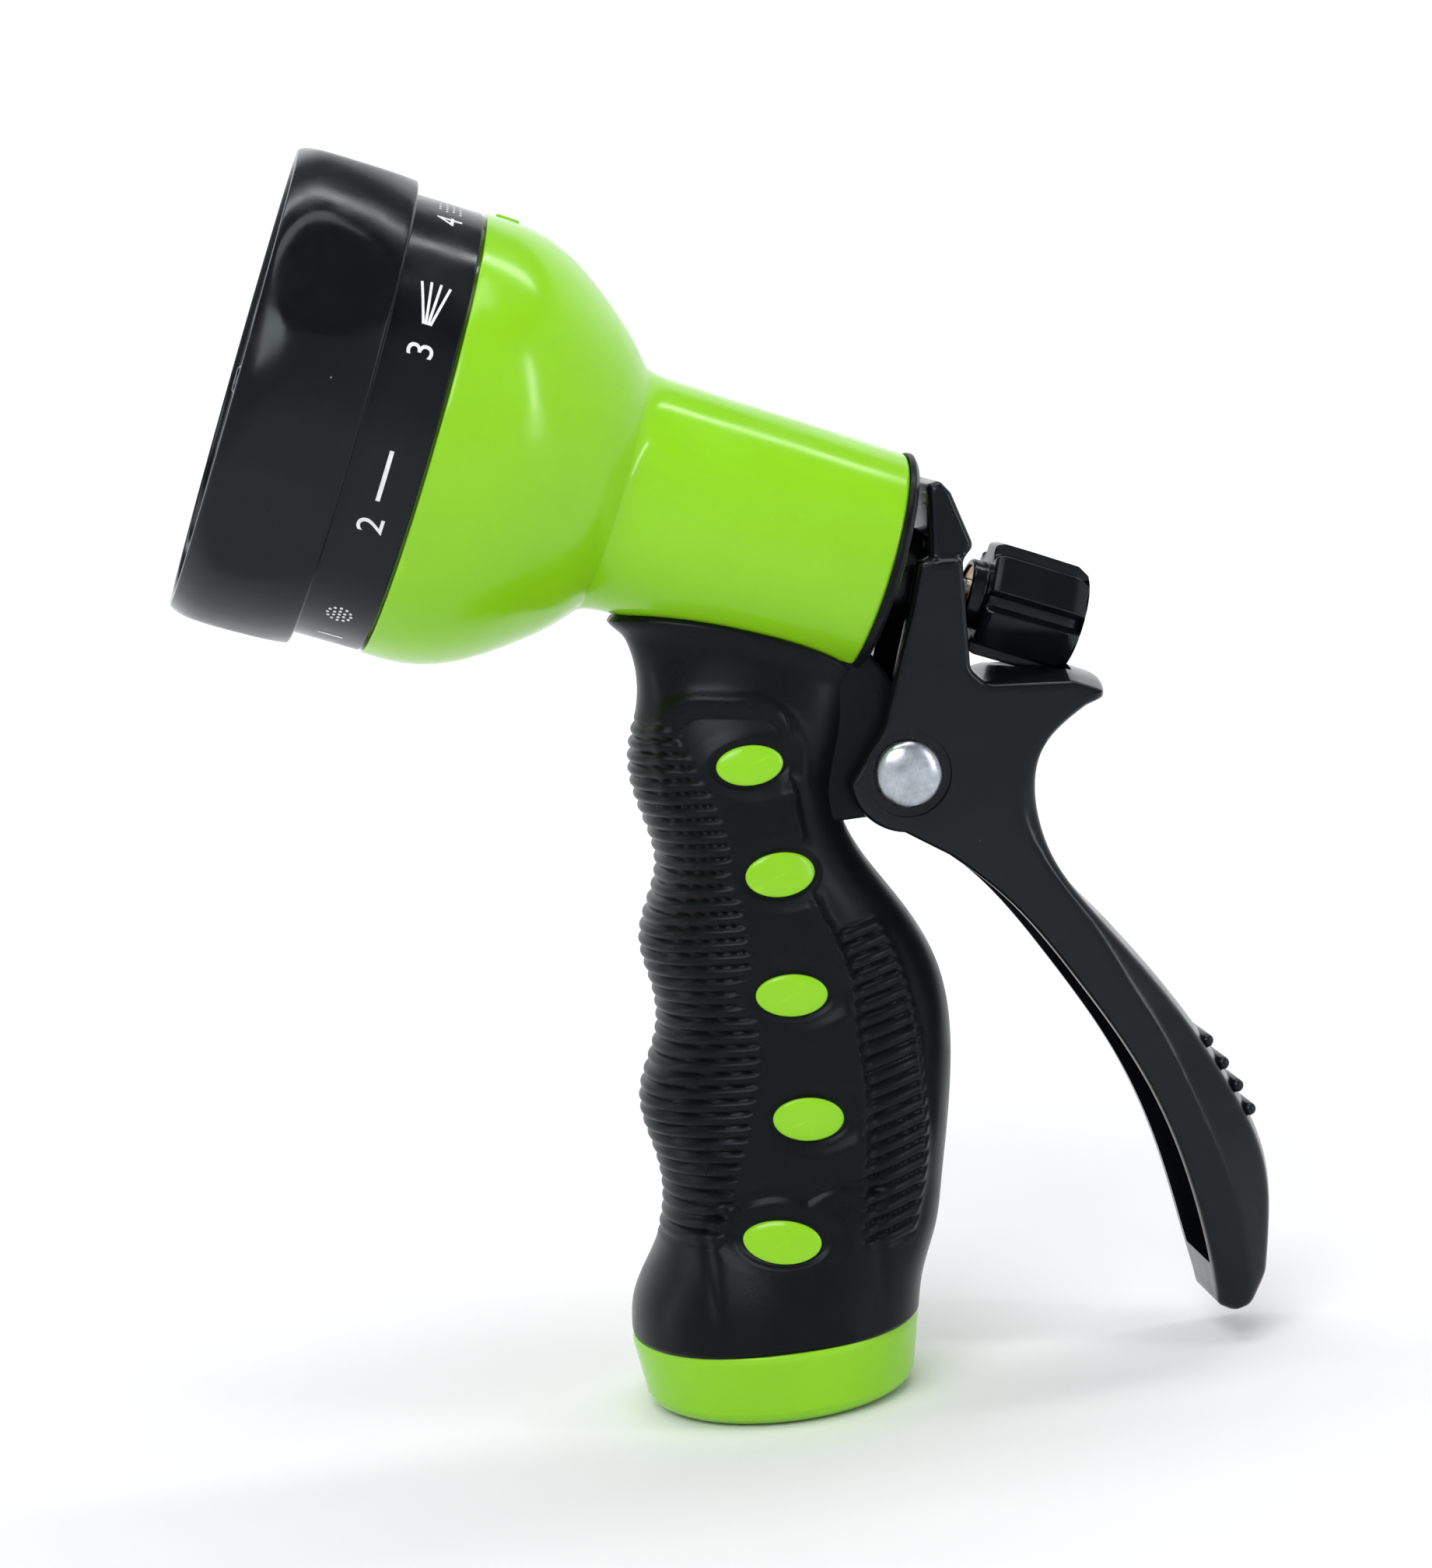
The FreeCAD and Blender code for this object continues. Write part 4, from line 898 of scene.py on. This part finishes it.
# level, front edge, back edge, half width: the grip's outline at that height
GRIP_LEVELS = [
    (9.8, -20.2, 20.2, 20.1), (16.0, -19.4, 21.6, 18.6), (22.0, -16.2, 24.0, 17.0),
    (28.0, -14.0, 25.4, 15.9), (36.0, -14.2, 27.0, 15.5), (44.5, -15.6, 28.3, 15.6),
    (53.0, -12.6, 28.6, 15.6), (60.0, -12.4, 27.3, 15.4), (67.0, -13.4, 24.0, 15.0),
    (76.5, -10.2, 18.0, 14.2), (85.0, -11.6, 15.9, 13.3), (92.6, -12.4, 18.6, 12.4),
    (99.0, -10.8, 20.6, 11.1), (106.0, -10.6, 21.6, 9.4), (114.0, -13.5, 22.0, 8.6)]
grip_form = spline([level[0] for level in GRIP_LEVELS], [level[1:] for level in GRIP_LEVELS])

# middle of each oval window, its half length and half height, and its tilt, back end down
OVALS = [(2.6, 90.9, 4.6, 2.7, 0), (5.1, 75.7, 4.8, 3.0, 0), (4.9, 59.1, 4.9, 2.9, 4),
         (5.5, 41.7, 4.9, 3.0, 6), (0.2, 25.1, 5.3, 2.9, 8)]
GRIP_BOTTOM = COLLAR_HEIGHT + 0.08
SQUARENESS = 2.25           # the grip's section is a little fuller than an ellipse
LAP = 0.45                  # how far off the barrel the skin's top edge stays


def grip_ring(height, angle, grow=0.0):
    """A ring of the grip at a height; angle 0 faces the lever, 270 degrees the near side."""
    front, back, half = np.moveaxis(grip_form(height), -1, 0)
    cosine, sine = np.cos(angle), np.sin(angle)
    depth = (back - front) / 2 + grow
    across = half + grow
    full = (np.abs(cosine) ** SQUARENESS + np.abs(sine) ** SQUARENESS) ** (-1 / SQUARENESS)
    return np.stack([(front + back) / 2 + depth * cosine * full, across * sine * full,
                     height + 0 * angle], -1)


def grip_side(x, z):
    """The near side's half width of the plain grip at (x, z)."""
    front, back, half = np.moveaxis(grip_form(z), -1, 0)
    share = np.clip(np.abs(x - (front + back) / 2) / ((back - front) / 2), 0, 0.999)
    return half * (1 - share ** SQUARENESS) ** (1 / SQUARENESS)


rib_edge = spline([20, 26, 31.6, 41.8, 50, 63.6, 72.4, 80, 85.5, 92, 98],
                  [-9.5, -7.6, -5.6, -2.3, -0.6, -0.2, -0.9, -1.4, -2.6, -5.4, -8.4])
crest_line = spline([22, 28.5, 36, 44.9, 53.2, 59.8, 67.3, 71.6, 77.9, 83.2, 93, 101],
                    [11.2, 11.9, 12.7, 13.4, 13.1, 13.0, 10.9, 9.4, 8.7, 8.0, 8.3, 8.4])
rear_edge = spline([19, 25, 29, 34, 45, 52, 57.5, 63.4, 68.3, 74],
                   [18.6, 19.4, 20.8, 21.9, 22.2, 21.9, 21.0, 19.6, 17.6, 15.2])
FRONT_PITCH = 1.85
REAR_PITCH = 2.05
REAR_SLOPE = math.tan(math.radians(11))


def ribs(phase, depth):
    """Rounded ribs of a depth, one for each whole phase."""
    return depth * (np.abs(np.cos(math.pi * phase)) ** 0.8 - 0.5)


def oval_field(x, z, oval):
    """Under 1 inside an oval window, over 1 outside it."""
    middle_x, middle_z, half_length, half_height, tilt = oval
    tilt = math.radians(tilt)
    along = (x - middle_x) * math.cos(tilt) - (z - middle_z) * math.sin(tilt)
    up = (x - middle_x) * math.sin(tilt) + (z - middle_z) * math.cos(tilt)
    return np.hypot(along / half_length, up / half_height)


def arch_distance(x, z):
    """Signed distance to the arch that closes the smooth panel's top; negative inside."""
    left, right, top, corner, lean = -7.6, 8.6, 99.6, 5.0, 0.12
    dx = np.maximum(np.abs(x - (left + right) / 2) - (right - left) / 2 + corner, 0)
    dz = np.maximum(z + lean * (x - left) - (top - corner), 0)
    return np.hypot(dx, dz) - corner


def skirt_line(x):
    """Height of the double arch over the lowest oval, where the smooth skirt begins."""
    first = 31.6 - 0.050 * (x + 0.6) ** 2
    second = 31.9 - 0.060 * (x - 9.2) ** 2
    return np.maximum(np.maximum(first, second), 20.5)


def hill(distance, width):
    """1 at no distance, falling away smoothly over the width."""
    return np.exp(-(distance / width) ** 2)


def grip_relief(x, z, across):
    """How far the moulded detail stands out of the plain grip at side position x and height z."""
    side = smoothstep(3.0, 7.0, np.abs(across))
    in_front = 1 - smoothstep(-0.7, 0.7, x - rib_edge(z))
    behind = smoothstep(-0.5, 0.5, x - crest_line(z))
    spine = smoothstep(-0.6, 0.6, x - rear_edge(z))
    top = smoothstep(95.5, 99.0, z)
    front_ribs = ribs(z / FRONT_PITCH, 0.62) * in_front * (1 - top) * smoothstep(23.0, 26.0, z)
    rear_ribs = (ribs((z - REAR_SLOPE * x) / REAR_PITCH, 0.70) * behind * (1 - spine)
                 * smoothstep(21.5, 24.0, z) * (1 - smoothstep(66.0, 69.5, z)))
    # the panel rises gently from the front ribs to a crest, then drops to the rear ribs
    rise = np.clip((x - rib_edge(z)) / np.maximum(crest_line(z) - rib_edge(z), 1), 0, 1)
    panel = (0.15 + 0.95 * rise ** 1.6) * (1 - in_front) * (1 - behind)
    crest_height = 0.75 * hill(x - crest_line(z), 0.95)
    fade = smoothstep(30.0, 36.0, z) * (1 - smoothstep(93.0, 99.0, z))
    body = (panel + crest_height) * fade * side
    # the arch at the top of the panel: a raised border with a hollow inside it
    arch = arch_distance(x, z)
    upper = smoothstep(84.0, 90.0, z) * side
    body += 0.42 * hill(arch - 1.2, 1.1) * upper
    body -= 0.55 * (1 - smoothstep(-1.2, 0.2, arch)) * upper * smoothstep(88, 94, z)
    # the skirt: a crease under the double arch, then soft swells on both sides of the oval
    skirt = (1 - smoothstep(-0.5, 0.5, z - skirt_line(x))) * side
    crease = 0.50 * hill(skirt_line(x) - z, 0.8) * side
    body -= crease * smoothstep(-10, -7, x) * (1 - smoothstep(14, 17, x))
    body += 0.55 * hill(x - 8.5, 3.4) * hill(z - 24.0, 4.5) * skirt
    body += 0.45 * hill(x + 8.3, 2.6) * hill(z - 22.0, 5.5) * skirt
    grooves = 0.30 * hill(x - 13.6, 0.8) + 0.25 * hill(x + 9.8, 0.8)
    body -= grooves * skirt * smoothstep(13, 20, z)
    body += front_ribs + rear_ribs
    rim = 0.25 * hill(x - rear_edge(z), 0.8)
    body += rim * smoothstep(22, 26, z) * (1 - smoothstep(66, 70, z))
    for oval in OVALS:
        reach = (oval_field(x, z, oval) - 1) * oval[3]
        body = np.where(np.abs(across) > 4, body * smoothstep(0.4, 2.6, reach), body)
        body = body - 0.30 * (1 - smoothstep(0.25, 0.75, reach)) * side
    return body


def grip_top(angle):
    """How high each column of the skin climbs before it laps the barrel."""
    heights = np.linspace(88.0, 113.0, 220)
    wall = grip_ring(heights[:, None] + 0 * angle, angle + 0 * heights[:, None]) - FACE_CENTRE
    along = wall @ HEAD_AXIS
    from_axis = np.linalg.norm(wall - along[..., None] * HEAD_AXIS, axis=-1)
    met = (from_axis < barrel_radius(along) + LAP) & (along < BARREL_END + 1.0)
    top = np.where(met.any(0), heights[np.argmax(met, axis=0)], 108.5)
    kernel = np.hanning(15)
    return np.convolve(np.concatenate([top[-7:], top, top[:7]]), kernel / kernel.sum(), mode="valid")


def make_grip():
    """The soft black skin, from the collar up to where it laps the barrel."""
    angle = np.linspace(0, 2 * math.pi, 384, endpoint=False)
    top = grip_top(angle)
    rows = 420
    height = GRIP_BOTTOM + (top - GRIP_BOTTOM) * np.linspace(0, 1, rows)[:, None]
    outer = grip_ring(height, angle + 0 * height)
    relief = grip_relief(outer[..., 0], height, outer[..., 1])
    relief *= smoothstep(GRIP_BOTTOM + 0.1, GRIP_BOTTOM + 3.0, height)
    relief *= smoothstep(0.0, 3.0, top - height)
    flare = 1.1 * (1 - smoothstep(0.0, 4.5, top - height)) ** 2
    edge = -0.35 * (1 - smoothstep(0.0, 0.5, height - GRIP_BOTTOM))
    normal = np.cross(np.roll(outer, -1, 1) - np.roll(outer, 1, 1), np.gradient(outer, axis=0))
    normal /= np.linalg.norm(normal, axis=-1, keepdims=True)
    outer = outer + normal * (relief + flare + edge)[..., None]
    # the lip turns in to the barrel, and an inner wall closes the skin
    inner = [grip_ring(height[row], angle, -2.45) for row in range(rows - 1, -1, -28)]
    inner[0][:, 2] += 0.5
    turn_in = inner[0] - outer[-1]
    rim, lip = (outer[-1] + share * turn_in + np.array([0, 0, lift])
                for share, lift in ((0.12, 0.45), (0.5, 0.5)))
    foot = grip_ring(height[0], angle, -0.6)
    shell = Shell().grid(np.concatenate([outer, [rim, lip], inner, [foot]]), wrap_rows=True)
    return shell.object("grip_skin", soft_black, "gun", "soft_grip", ["grip_overmold"], sharp=50)


def make_grip_web():
    """The skin over the pivot lug and the lip round the barrel's rear rim."""
    shell = make_lug(1.45)
    ring = rounded([(TAIL_RADIUS + 0.1, 92.05, 0.1), (15.7, 92.05, 0.1), (16.15, 91.75, 0.2),
                    (16.3, 92.6, 0.4), (15.5, 93.35, 0.4), (TAIL_RADIUS + 0.1, 93.35, 0.2)])
    shell.lathe(ring, steps=192)
    return shell.object("grip_web", soft_black, "gun", "soft_grip", sharp=45)


def add_oval(shell, oval, side):
    """A domed green window that stands just proud of the skin."""
    middle_x, middle_z, half_length, half_height, tilt = oval
    tilt = math.radians(tilt)
    rows = []
    angle = np.linspace(0, 2 * math.pi, 72, endpoint=False)
    for share, lift in ((1.0, -1.6), (1.0, 0.02), (0.985, 0.14), (0.94, 0.24), (0.8, 0.34),
                        (0.6, 0.42), (0.4, 0.46), (0.2, 0.48), (0.02, 0.49)):
        along = share * half_length * np.cos(angle)
        up = share * half_height * np.sin(angle)
        x = middle_x + along * math.cos(tilt) + up * math.sin(tilt)
        z = middle_z - along * math.sin(tilt) + up * math.cos(tilt)
        rows.append(np.stack([x, side * (grip_side(x, z) + lift), z], -1))
    shell.grid(np.array(rows), cap=True)


# ---------------------------------------------------------------- lever

LEVER_SWING = math.radians(JOINTS["lever_pivot"]["range_deg"][1])
LEVER_HALF = 12.0
CHEEK_INNER = 8.6
ARM_WALL = 2.6              # behind the arm's channel
SIDE_WALL = 2.3             # on both sides of it
BOSS_RADIUS = 8.2
RIVET_HOLE = 2.58
SEAT_DEPTH = 11.4           # from the middle of the gun to the flat seat under a rivet head
OUT = 15.0                  # well outside the lever's sides
# radius, start and end on the head's axis of the room for the knob's collar and for the knob
KNOB_ROOM = [(5.1, 105.0, 108.0), (8.7, 107.2, 122.0)]
LEVER_INNER = [(28.6, 75.6), (35.8, 69.0), (45.6, 55.5), (53.8, 41.1), (58.0, 30.2), (61.0, 17.3),
               (62.6, 7.4)]
LEVER_BACK = [(70.4, 12.2), (71.2, 25.6), (67.2, 36.6), (58.2, 52.0), (48.8, 64.8), (43.8, 73.0),
              (42.2, 80.4), (43.3, 87.8), (50.0, 93.6)]
LEVER_RIDGE = [(51.0, 94.6), (44.6, 90.6), (40.9, 86.0), (39.3, 80.6), (40.3, 75.6), (43.2, 70.0),
               (47.7, 62.8), (52.2, 54.0), (56.7, 45.1), (60.9, 34.1), (63.9, 25.2), (65.6, 17.0),
               (66.2, 8.0), (66.3, 0.0)]


def lever_outline():
    """The lever from the side: front edge, boss, the arm's inner edge, tip and back, ledge, hood."""
    front = [(31.4, 126.0, 0.8), (30.4, 116.4, 0.4), (28.6, 115.8, 1.0), (26.8, 109.2, 4.0),
             (23.8, 99.8, 8.0), (21.6, 93.6, 6.0), (16.3, 86.6, 1.0)]
    boss = [(PIVOT[0] + BOSS_RADIUS * math.cos(a), PIVOT[2] + BOSS_RADIUS * math.sin(a), 0)
            for a in np.radians(np.linspace(190, 262, 13))]
    tip = [(62.8, 5.2, 1.0), (64.6, 4.4, 1.5), (67.2, 5.3, 2.5), (69.9, 9.4, 3.0)]
    top = [(54.0, 94.9, 0.7), (48.6, 97.3, 3.0), (36.4, 98.2, 2.0), (34.4, 100.4, 2.0),
           (34.7, 115.4, 1.2), (36.7, 117.0, 1.4), (34.4, 124.6, 0.8), (33.0, 126.4, 0.8)]
    return rounded(front + boss + sharp_curve(LEVER_INNER, 0.8)[1:] + tip
                   + sharp_curve(LEVER_BACK, 0.8)[1:] + top)


def lever_half(x, z):
    """The lever's half width: flat cheeks, a narrower hood, and an arm with a ridge along it."""
    ridge = side_of(curve_through(LEVER_RIDGE, 1.0), x, z)      # positive towards the back
    wide = np.interp(z, [0, 8, 20, 45, 62, 78, 90], [7.8, 9.4, 10.5, 11.1, 11.6, 12.0, 12.0])
    outer = np.maximum(ridge, 0)
    inner = np.maximum(-ridge, 0)
    on_arm = 1 - smoothstep(76.0, 86.0, z - 0.55 * (x - 40))
    fall = 0.62 * (outer - 0.6 * (1 - np.exp(-outer / 0.6)))
    lean = 0.085 * inner * on_arm
    half = wide - np.minimum(fall, 5.2) - lean
    hood = smoothstep(115.2, 116.4, z) * (1.3 + 0.16 * np.maximum(z - 116.0, 0))
    scoop = 1.6 * (1 - smoothstep(5.0, 15.0, z)) * smoothstep(0.5, 3.5, inner)
    return half - hood - scoop


def lever_room(x, z):
    """The half width of the room inside the arm: its outer form less the wall."""
    return np.minimum(lever_half(x, z) - SIDE_WALL, CHEEK_INNER)


def knob_relief():
    """Room in the lever for the knob and its collar, which slide back as the lever swings."""
    cutters = []
    for share in np.linspace(0, 1, 5):
        turned = np.array(Matrix.Rotation(share * LEVER_SWING, 3, "Y"))
        for radius, start, end in KNOB_ROOM:
            low, high = start + share * STEM_TRAVEL, end + share * STEM_TRAVEL
            rod = Shell().lathe([(0, low), (radius, low), (radius, high), (0, high)], steps=72)
            rod.points = [PIVOT + (rod.points[0] - PIVOT) @ turned]
            cutters.append(rod)
    return cutters


def cheek_gap():
    """The room between the cheeks for the lug and the barrel's rear end."""
    outline = rounded([(8.0, 72.0, 0), (8.0, 119.0, 0), (31.2, 119.0, 0), (30.0, 101.0, 3.0),
                       (30.4, 92.0, 2.0), (33.0, 87.0, 2.0), (33.0, 81.0, 2.0), (26.0, 72.0, 0)])
    sides = prism_points(outline, np.full(len(outline), CHEEK_INNER))
    return Shell().grid(np.array(sides), cap=True)


def arm_channel():
    """The channel along the inside of the arm, open towards the grip."""
    back = curve_through(LEVER_BACK, 0.8)
    way = np.gradient(back, axis=0)
    way /= np.linalg.norm(way, axis=1)[:, None]
    floor = back + ARM_WALL * np.stack([-way[:, 1], way[:, 0]], -1)
    floor = floor[(floor[:, 1] < 84.0) | (floor[:, 0] < 41.0)]
    mouth = [(34.0, 84.0), (31.0, 80.0), (24.0, 68.0), (38.0, 46.0), (50.0, 22.0), (57.0, 10.5)]
    return plate(np.concatenate([floor, mouth]), lever_room, edge=0.3, grain=2.2)


def rivet_room():
    """The rivet's hole, and the flat seats for its two heads."""
    hole = Shell().lathe([(0.0, -OUT), (RIVET_HOLE, -OUT), (RIVET_HOLE, OUT), (0.0, OUT)],
                         pin_points, 48)
    seats = [Shell().lathe([(0.0, side * SEAT_DEPTH), (6.0, side * SEAT_DEPTH), (6.15, side * OUT),
                            (0.0, side * OUT)], pin_points, 96) for side in (-1, 1)]
    return [hole] + seats


def stem_slot():
    """The slot in the hood for the valve stem."""
    slot = rounded([(-4.6, -2.6, 1.6), (3.8, -2.6, 1.6), (3.8, 2.6, 1.6), (-4.6, 2.6, 1.6)])
    radius, angle = np.hypot(*slot.T), np.arctan2(slot[:, 1], slot[:, 0])
    return Shell().grid(np.array([head_points(radius, angle, depth) for depth in (94.3, 108.5)]),
                        cap=True)


def make_lever():
    shell = plate(lever_outline(), lever_half, edge=0.9, grain=0.75, strips=10, crown=arm_crown)
    lever = shell.loose_object("lever_handle")
    carve(lever, [cheek_gap(), arm_channel(), stem_slot()] + rivet_room() + knob_relief())
    return dress(lever, black_gloss, "lever", ["lever"], sharp=32)


def arm_crown(border):
    """The arm's back and the ledge's top are crowned across the gun; other edges are straight."""
    back = curve_through(LEVER_BACK[:7], 1.0)
    near = np.linalg.norm(border[:, None, :] - back[None], axis=-1).min(1)
    arm = (1 - smoothstep(0.4, 1.6, near)) * (1 - smoothstep(60.0, 76.0, border[:, 1]))
    on_ledge = (border[:, 1] > 94.4) & (border[:, 1] < 98.6)
    ledge = on_ledge * smoothstep(36.0, 39.0, border[:, 0]) * (1 - smoothstep(53.4, 55.0, border[:, 0]))
    return 1.1 * arm + 1.6 * ledge


TEETH = [(64.6, 43.3), (66.6, 39.8), (68.4, 36.3), (69.9, 32.7)]


def make_teeth():
    """Four round grip bars across the back of the arm."""
    shell = Shell()
    radius, reach = 0.95, 5.0
    for tooth in TEETH:
        rows = []
        for tilt in np.radians(np.linspace(-85, 85, 15)):
            end = reach * math.copysign(1, tilt) if abs(tilt) > 1e-6 else 0
            size = radius * math.cos(tilt) if abs(tilt) > math.radians(10) else radius
            x, z = circle(size, 20, tooth).T
            rows.append(np.stack([x, np.full(20, end + radius * math.sin(tilt)), z], -1))
        shell.grid(np.array(rows), cap=True)
    return shell.object("lever_teeth", black_gloss, "lever", "black_plastic", sharp=50)


# ---------------------------------------------------------------- rivet, knob and spring

RIVET_HEAD = 4.7


def make_rivet():
    """The rivet through lug and lever: a plain shank with a low dome at each end."""
    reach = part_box("pivot_pin")[1][1] / MM
    seat = LEVER_HALF - 0.5
    dome = [(RIVET_HEAD * math.cos(a), seat + 0.35 + (reach - seat - 0.35) * math.sin(a))
            for a in np.radians(np.linspace(4, 90, 16))]
    half = [(2.5, 0.0), (2.5, seat), (RIVET_HEAD - 0.15, seat), (RIVET_HEAD, seat + 0.15)] + dome
    outline = half + [(radius, -height) for radius, height in reversed(half)]
    shell = Shell().lathe(outline, pin_points, 96)
    return shell.object("pivot_rivet", bright_steel, "gun", "bright_steel", ["pivot_pin"], sharp=40)


KNOB_FLAT = 7.95
KNOB_PAD = math.radians(20.5)
KNOB_GROOVE = 7.0


def knob_radius(radius, angle, height):
    """Six flat-topped lobes with grooves between them; the collar and the bore stay round."""
    from_middle = np.abs((angle + math.pi / 6) % (math.pi / 3) - math.pi / 6)
    pad = KNOB_FLAT / np.cos(from_middle)
    share = smoothstep(KNOB_PAD - 0.03, KNOB_PAD + 0.075, from_middle)
    limit = pad + (KNOB_GROOVE - pad) * share
    return np.where(radius > 5.2, np.minimum(radius, limit + (radius - 8.4) * (radius > KNOB_GROOVE)),
                    radius)


def make_knob():
    profile = rounded([(3.85, 105.3, 0.2), (4.8, 105.3, 0.4), (4.8, 107.5, 0.3), (7.9, 107.5, 0.7),
                       (8.4, 108.6, 0.8), (8.4, 113.0, 0), (8.25, 119.6, 0.9), (7.2, 121.55, 0.7),
                       (4.6, 121.55, 0.4), (4.2, 120.9, 0.3), (0.0, 120.9, 0), (0.0, 118.2, 0),
                       (3.85, 118.2, 0.1)])
    shell = Shell().lathe(spaced(profile, 1.0), steps=288, radius_at=knob_radius)
    return shell.object("control_knob", black_gloss, "knob", "black_plastic", ["flow_knob"], sharp=30)


def make_return_spring():
    """The valve's return spring."""
    mean, wire, turns, start, end = 5.2, 0.6, 7, 64.6, 83.8
    steps = turns * 48
    turn = np.linspace(0, 2 * math.pi * turns, steps)
    squeeze = smoothstep(0.0, 2 * math.pi, turn) - smoothstep(-2 * math.pi, 0.0, turn - turn[-1]) + 1
    height = start + (end - start) * (turn / turn[-1] * 0.9 + 0.05 * squeeze)
    height = np.clip(height, start, end)
    section = np.linspace(0, 2 * math.pi, 12, endpoint=False)
    rows = np.array([head_points(mean + wire * np.cos(section), np.full(12, t),
                                 h + wire * np.sin(section)) for t, h in zip(turn, height)])
    shell = Shell().grid(rows, cap=True)
    spring = shell.object("valve_spring", spring_steel, "gun", "spring_steel", ["return_spring"])
    anchor = head_points(0.0, 0.0, end) * MM
    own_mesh(spring)


# ---------------------------------------------------------------- stage, light and camera

SENSOR = 36.0               # millimetres, as is the lens
LENS = 97.773
YAW, PITCH, ROLL = (math.radians(a) for a in (6.867, 7.967, -5.725))
DISTANCE = 0.54165
TARGET = Vector((-0.00079, 0.0, 0.087155))


def make_camera():
    """The camera looks at the gun's near side, a little from the front and above, slightly rolled."""
    view = Vector((math.sin(YAW) * math.cos(PITCH), math.cos(YAW) * math.cos(PITCH),
                   -math.sin(PITCH)))
    right = view.cross(Vector((0, 0, 1))).normalized()
    up = right.cross(view)
    rolled_right = math.cos(ROLL) * right + math.sin(ROLL) * up
    rolled_up = math.cos(ROLL) * up - math.sin(ROLL) * right
    data = bpy.data.cameras.new("camera")
    data.sensor_fit = "HORIZONTAL"
    data.sensor_width = SENSOR
    data.lens = LENS
    data.clip_start = 0.02
    camera = bpy.data.objects.new("camera", data)
    turned = Matrix((rolled_right, rolled_up, -view)).transposed().to_4x4()
    camera.matrix_world = Matrix.Translation(TARGET - DISTANCE * view) @ turned
    bpy.context.scene.collection.objects.link(camera)
    bpy.context.scene.camera = camera


def make_floor():
    """A pale studio floor that curves up into a low far rim all round."""
    profile = curve_through([(0.5, 0.0), (900, 0.0), (1300, 50.0), (1600, 300.0), (1720, 800.0),
                             (1740, 1500.0)], 60)
    around = np.linspace(0, 2 * math.pi, 96, endpoint=False)
    shell = Shell().grid(np.array([upright_points(radius, around, height - 0.3)
                                   for radius, height in profile]))
    floor = shell.loose_object("studio_floor")
    make = Nodes("studio_paper")
    cloud = make.noise(3, 3, 0.5)
    tone = make.colours(cloud, [(0.3, (0.82, 0.82, 0.82)), (0.7, (0.86, 0.86, 0.86))])
    make.link(tone, "Color", make.shader, "Base Color")
    make.link(make.bump(make.noise(900, 3, 0.6), 0.05, 0.0002), "Normal", make.shader, "Normal")
    make.give(make.shader, {"Roughness": 0.85})
    finish_mesh(floor.data, make.material, 180)


def add_light(name, place, aim, power, width, height):
    data = bpy.data.lights.new(name, "AREA")
    data.shape = "RECTANGLE"
    data.size = width
    data.size_y = height
    data.energy = power
    light = bpy.data.objects.new(name, data)
    place = Vector(place)
    light.matrix_world = Matrix.Translation(place) @ (
        (place - Vector(aim)).to_track_quat("Z", "Y").to_matrix().to_4x4())
    bpy.context.scene.collection.objects.link(light)


# name, place and aim in metres, watts, width and height
MIDDLE = (0.0, 0.0, 0.09)
LIGHTS = [("key_softbox", (-0.45, -1.00, 0.95), MIDDLE, 9.2, 0.85, 0.60),
          ("side_strip", (0.95, -0.62, 0.30), MIDDLE, 2.8, 0.10, 0.90),
          ("left_strip", (-0.90, 0.10, 0.35), MIDDLE, 1.2, 0.10, 0.80),
          ("over_softbox", (0.05, -0.25, 1.25), MIDDLE, 3.8, 0.90, 0.40),
          ("backdrop_wash", (0.15, 0.35, 1.25), (0.25, 1.60, 0.30), 18.0, 1.60, 0.30)]


def make_light():
    world = bpy.data.worlds.new("studio_air")
    bpy.context.scene.world = world
    world.use_nodes = True
    background = world.node_tree.nodes["Background"]
    background.inputs["Color"].default_value = (0.86, 0.95, 1.08, 1)
    background.inputs["Strength"].default_value = 0.20
    for light in LIGHTS:
        add_light(*light)
    bpy.context.scene.view_settings.view_transform = "Standard"


# ---------------------------------------------------------------- all of it

PARTS = (make_dial_shell, make_dial_marks, make_face_plate, make_face_trim, make_centre_cap, make_bell,
         make_body, make_grip, make_grip_web, make_lever, make_teeth, make_rivet, make_knob,
         make_return_spring)

for make in (make_camera, make_light, make_floor, finish_cad_nodes) + PARTS:
    make()
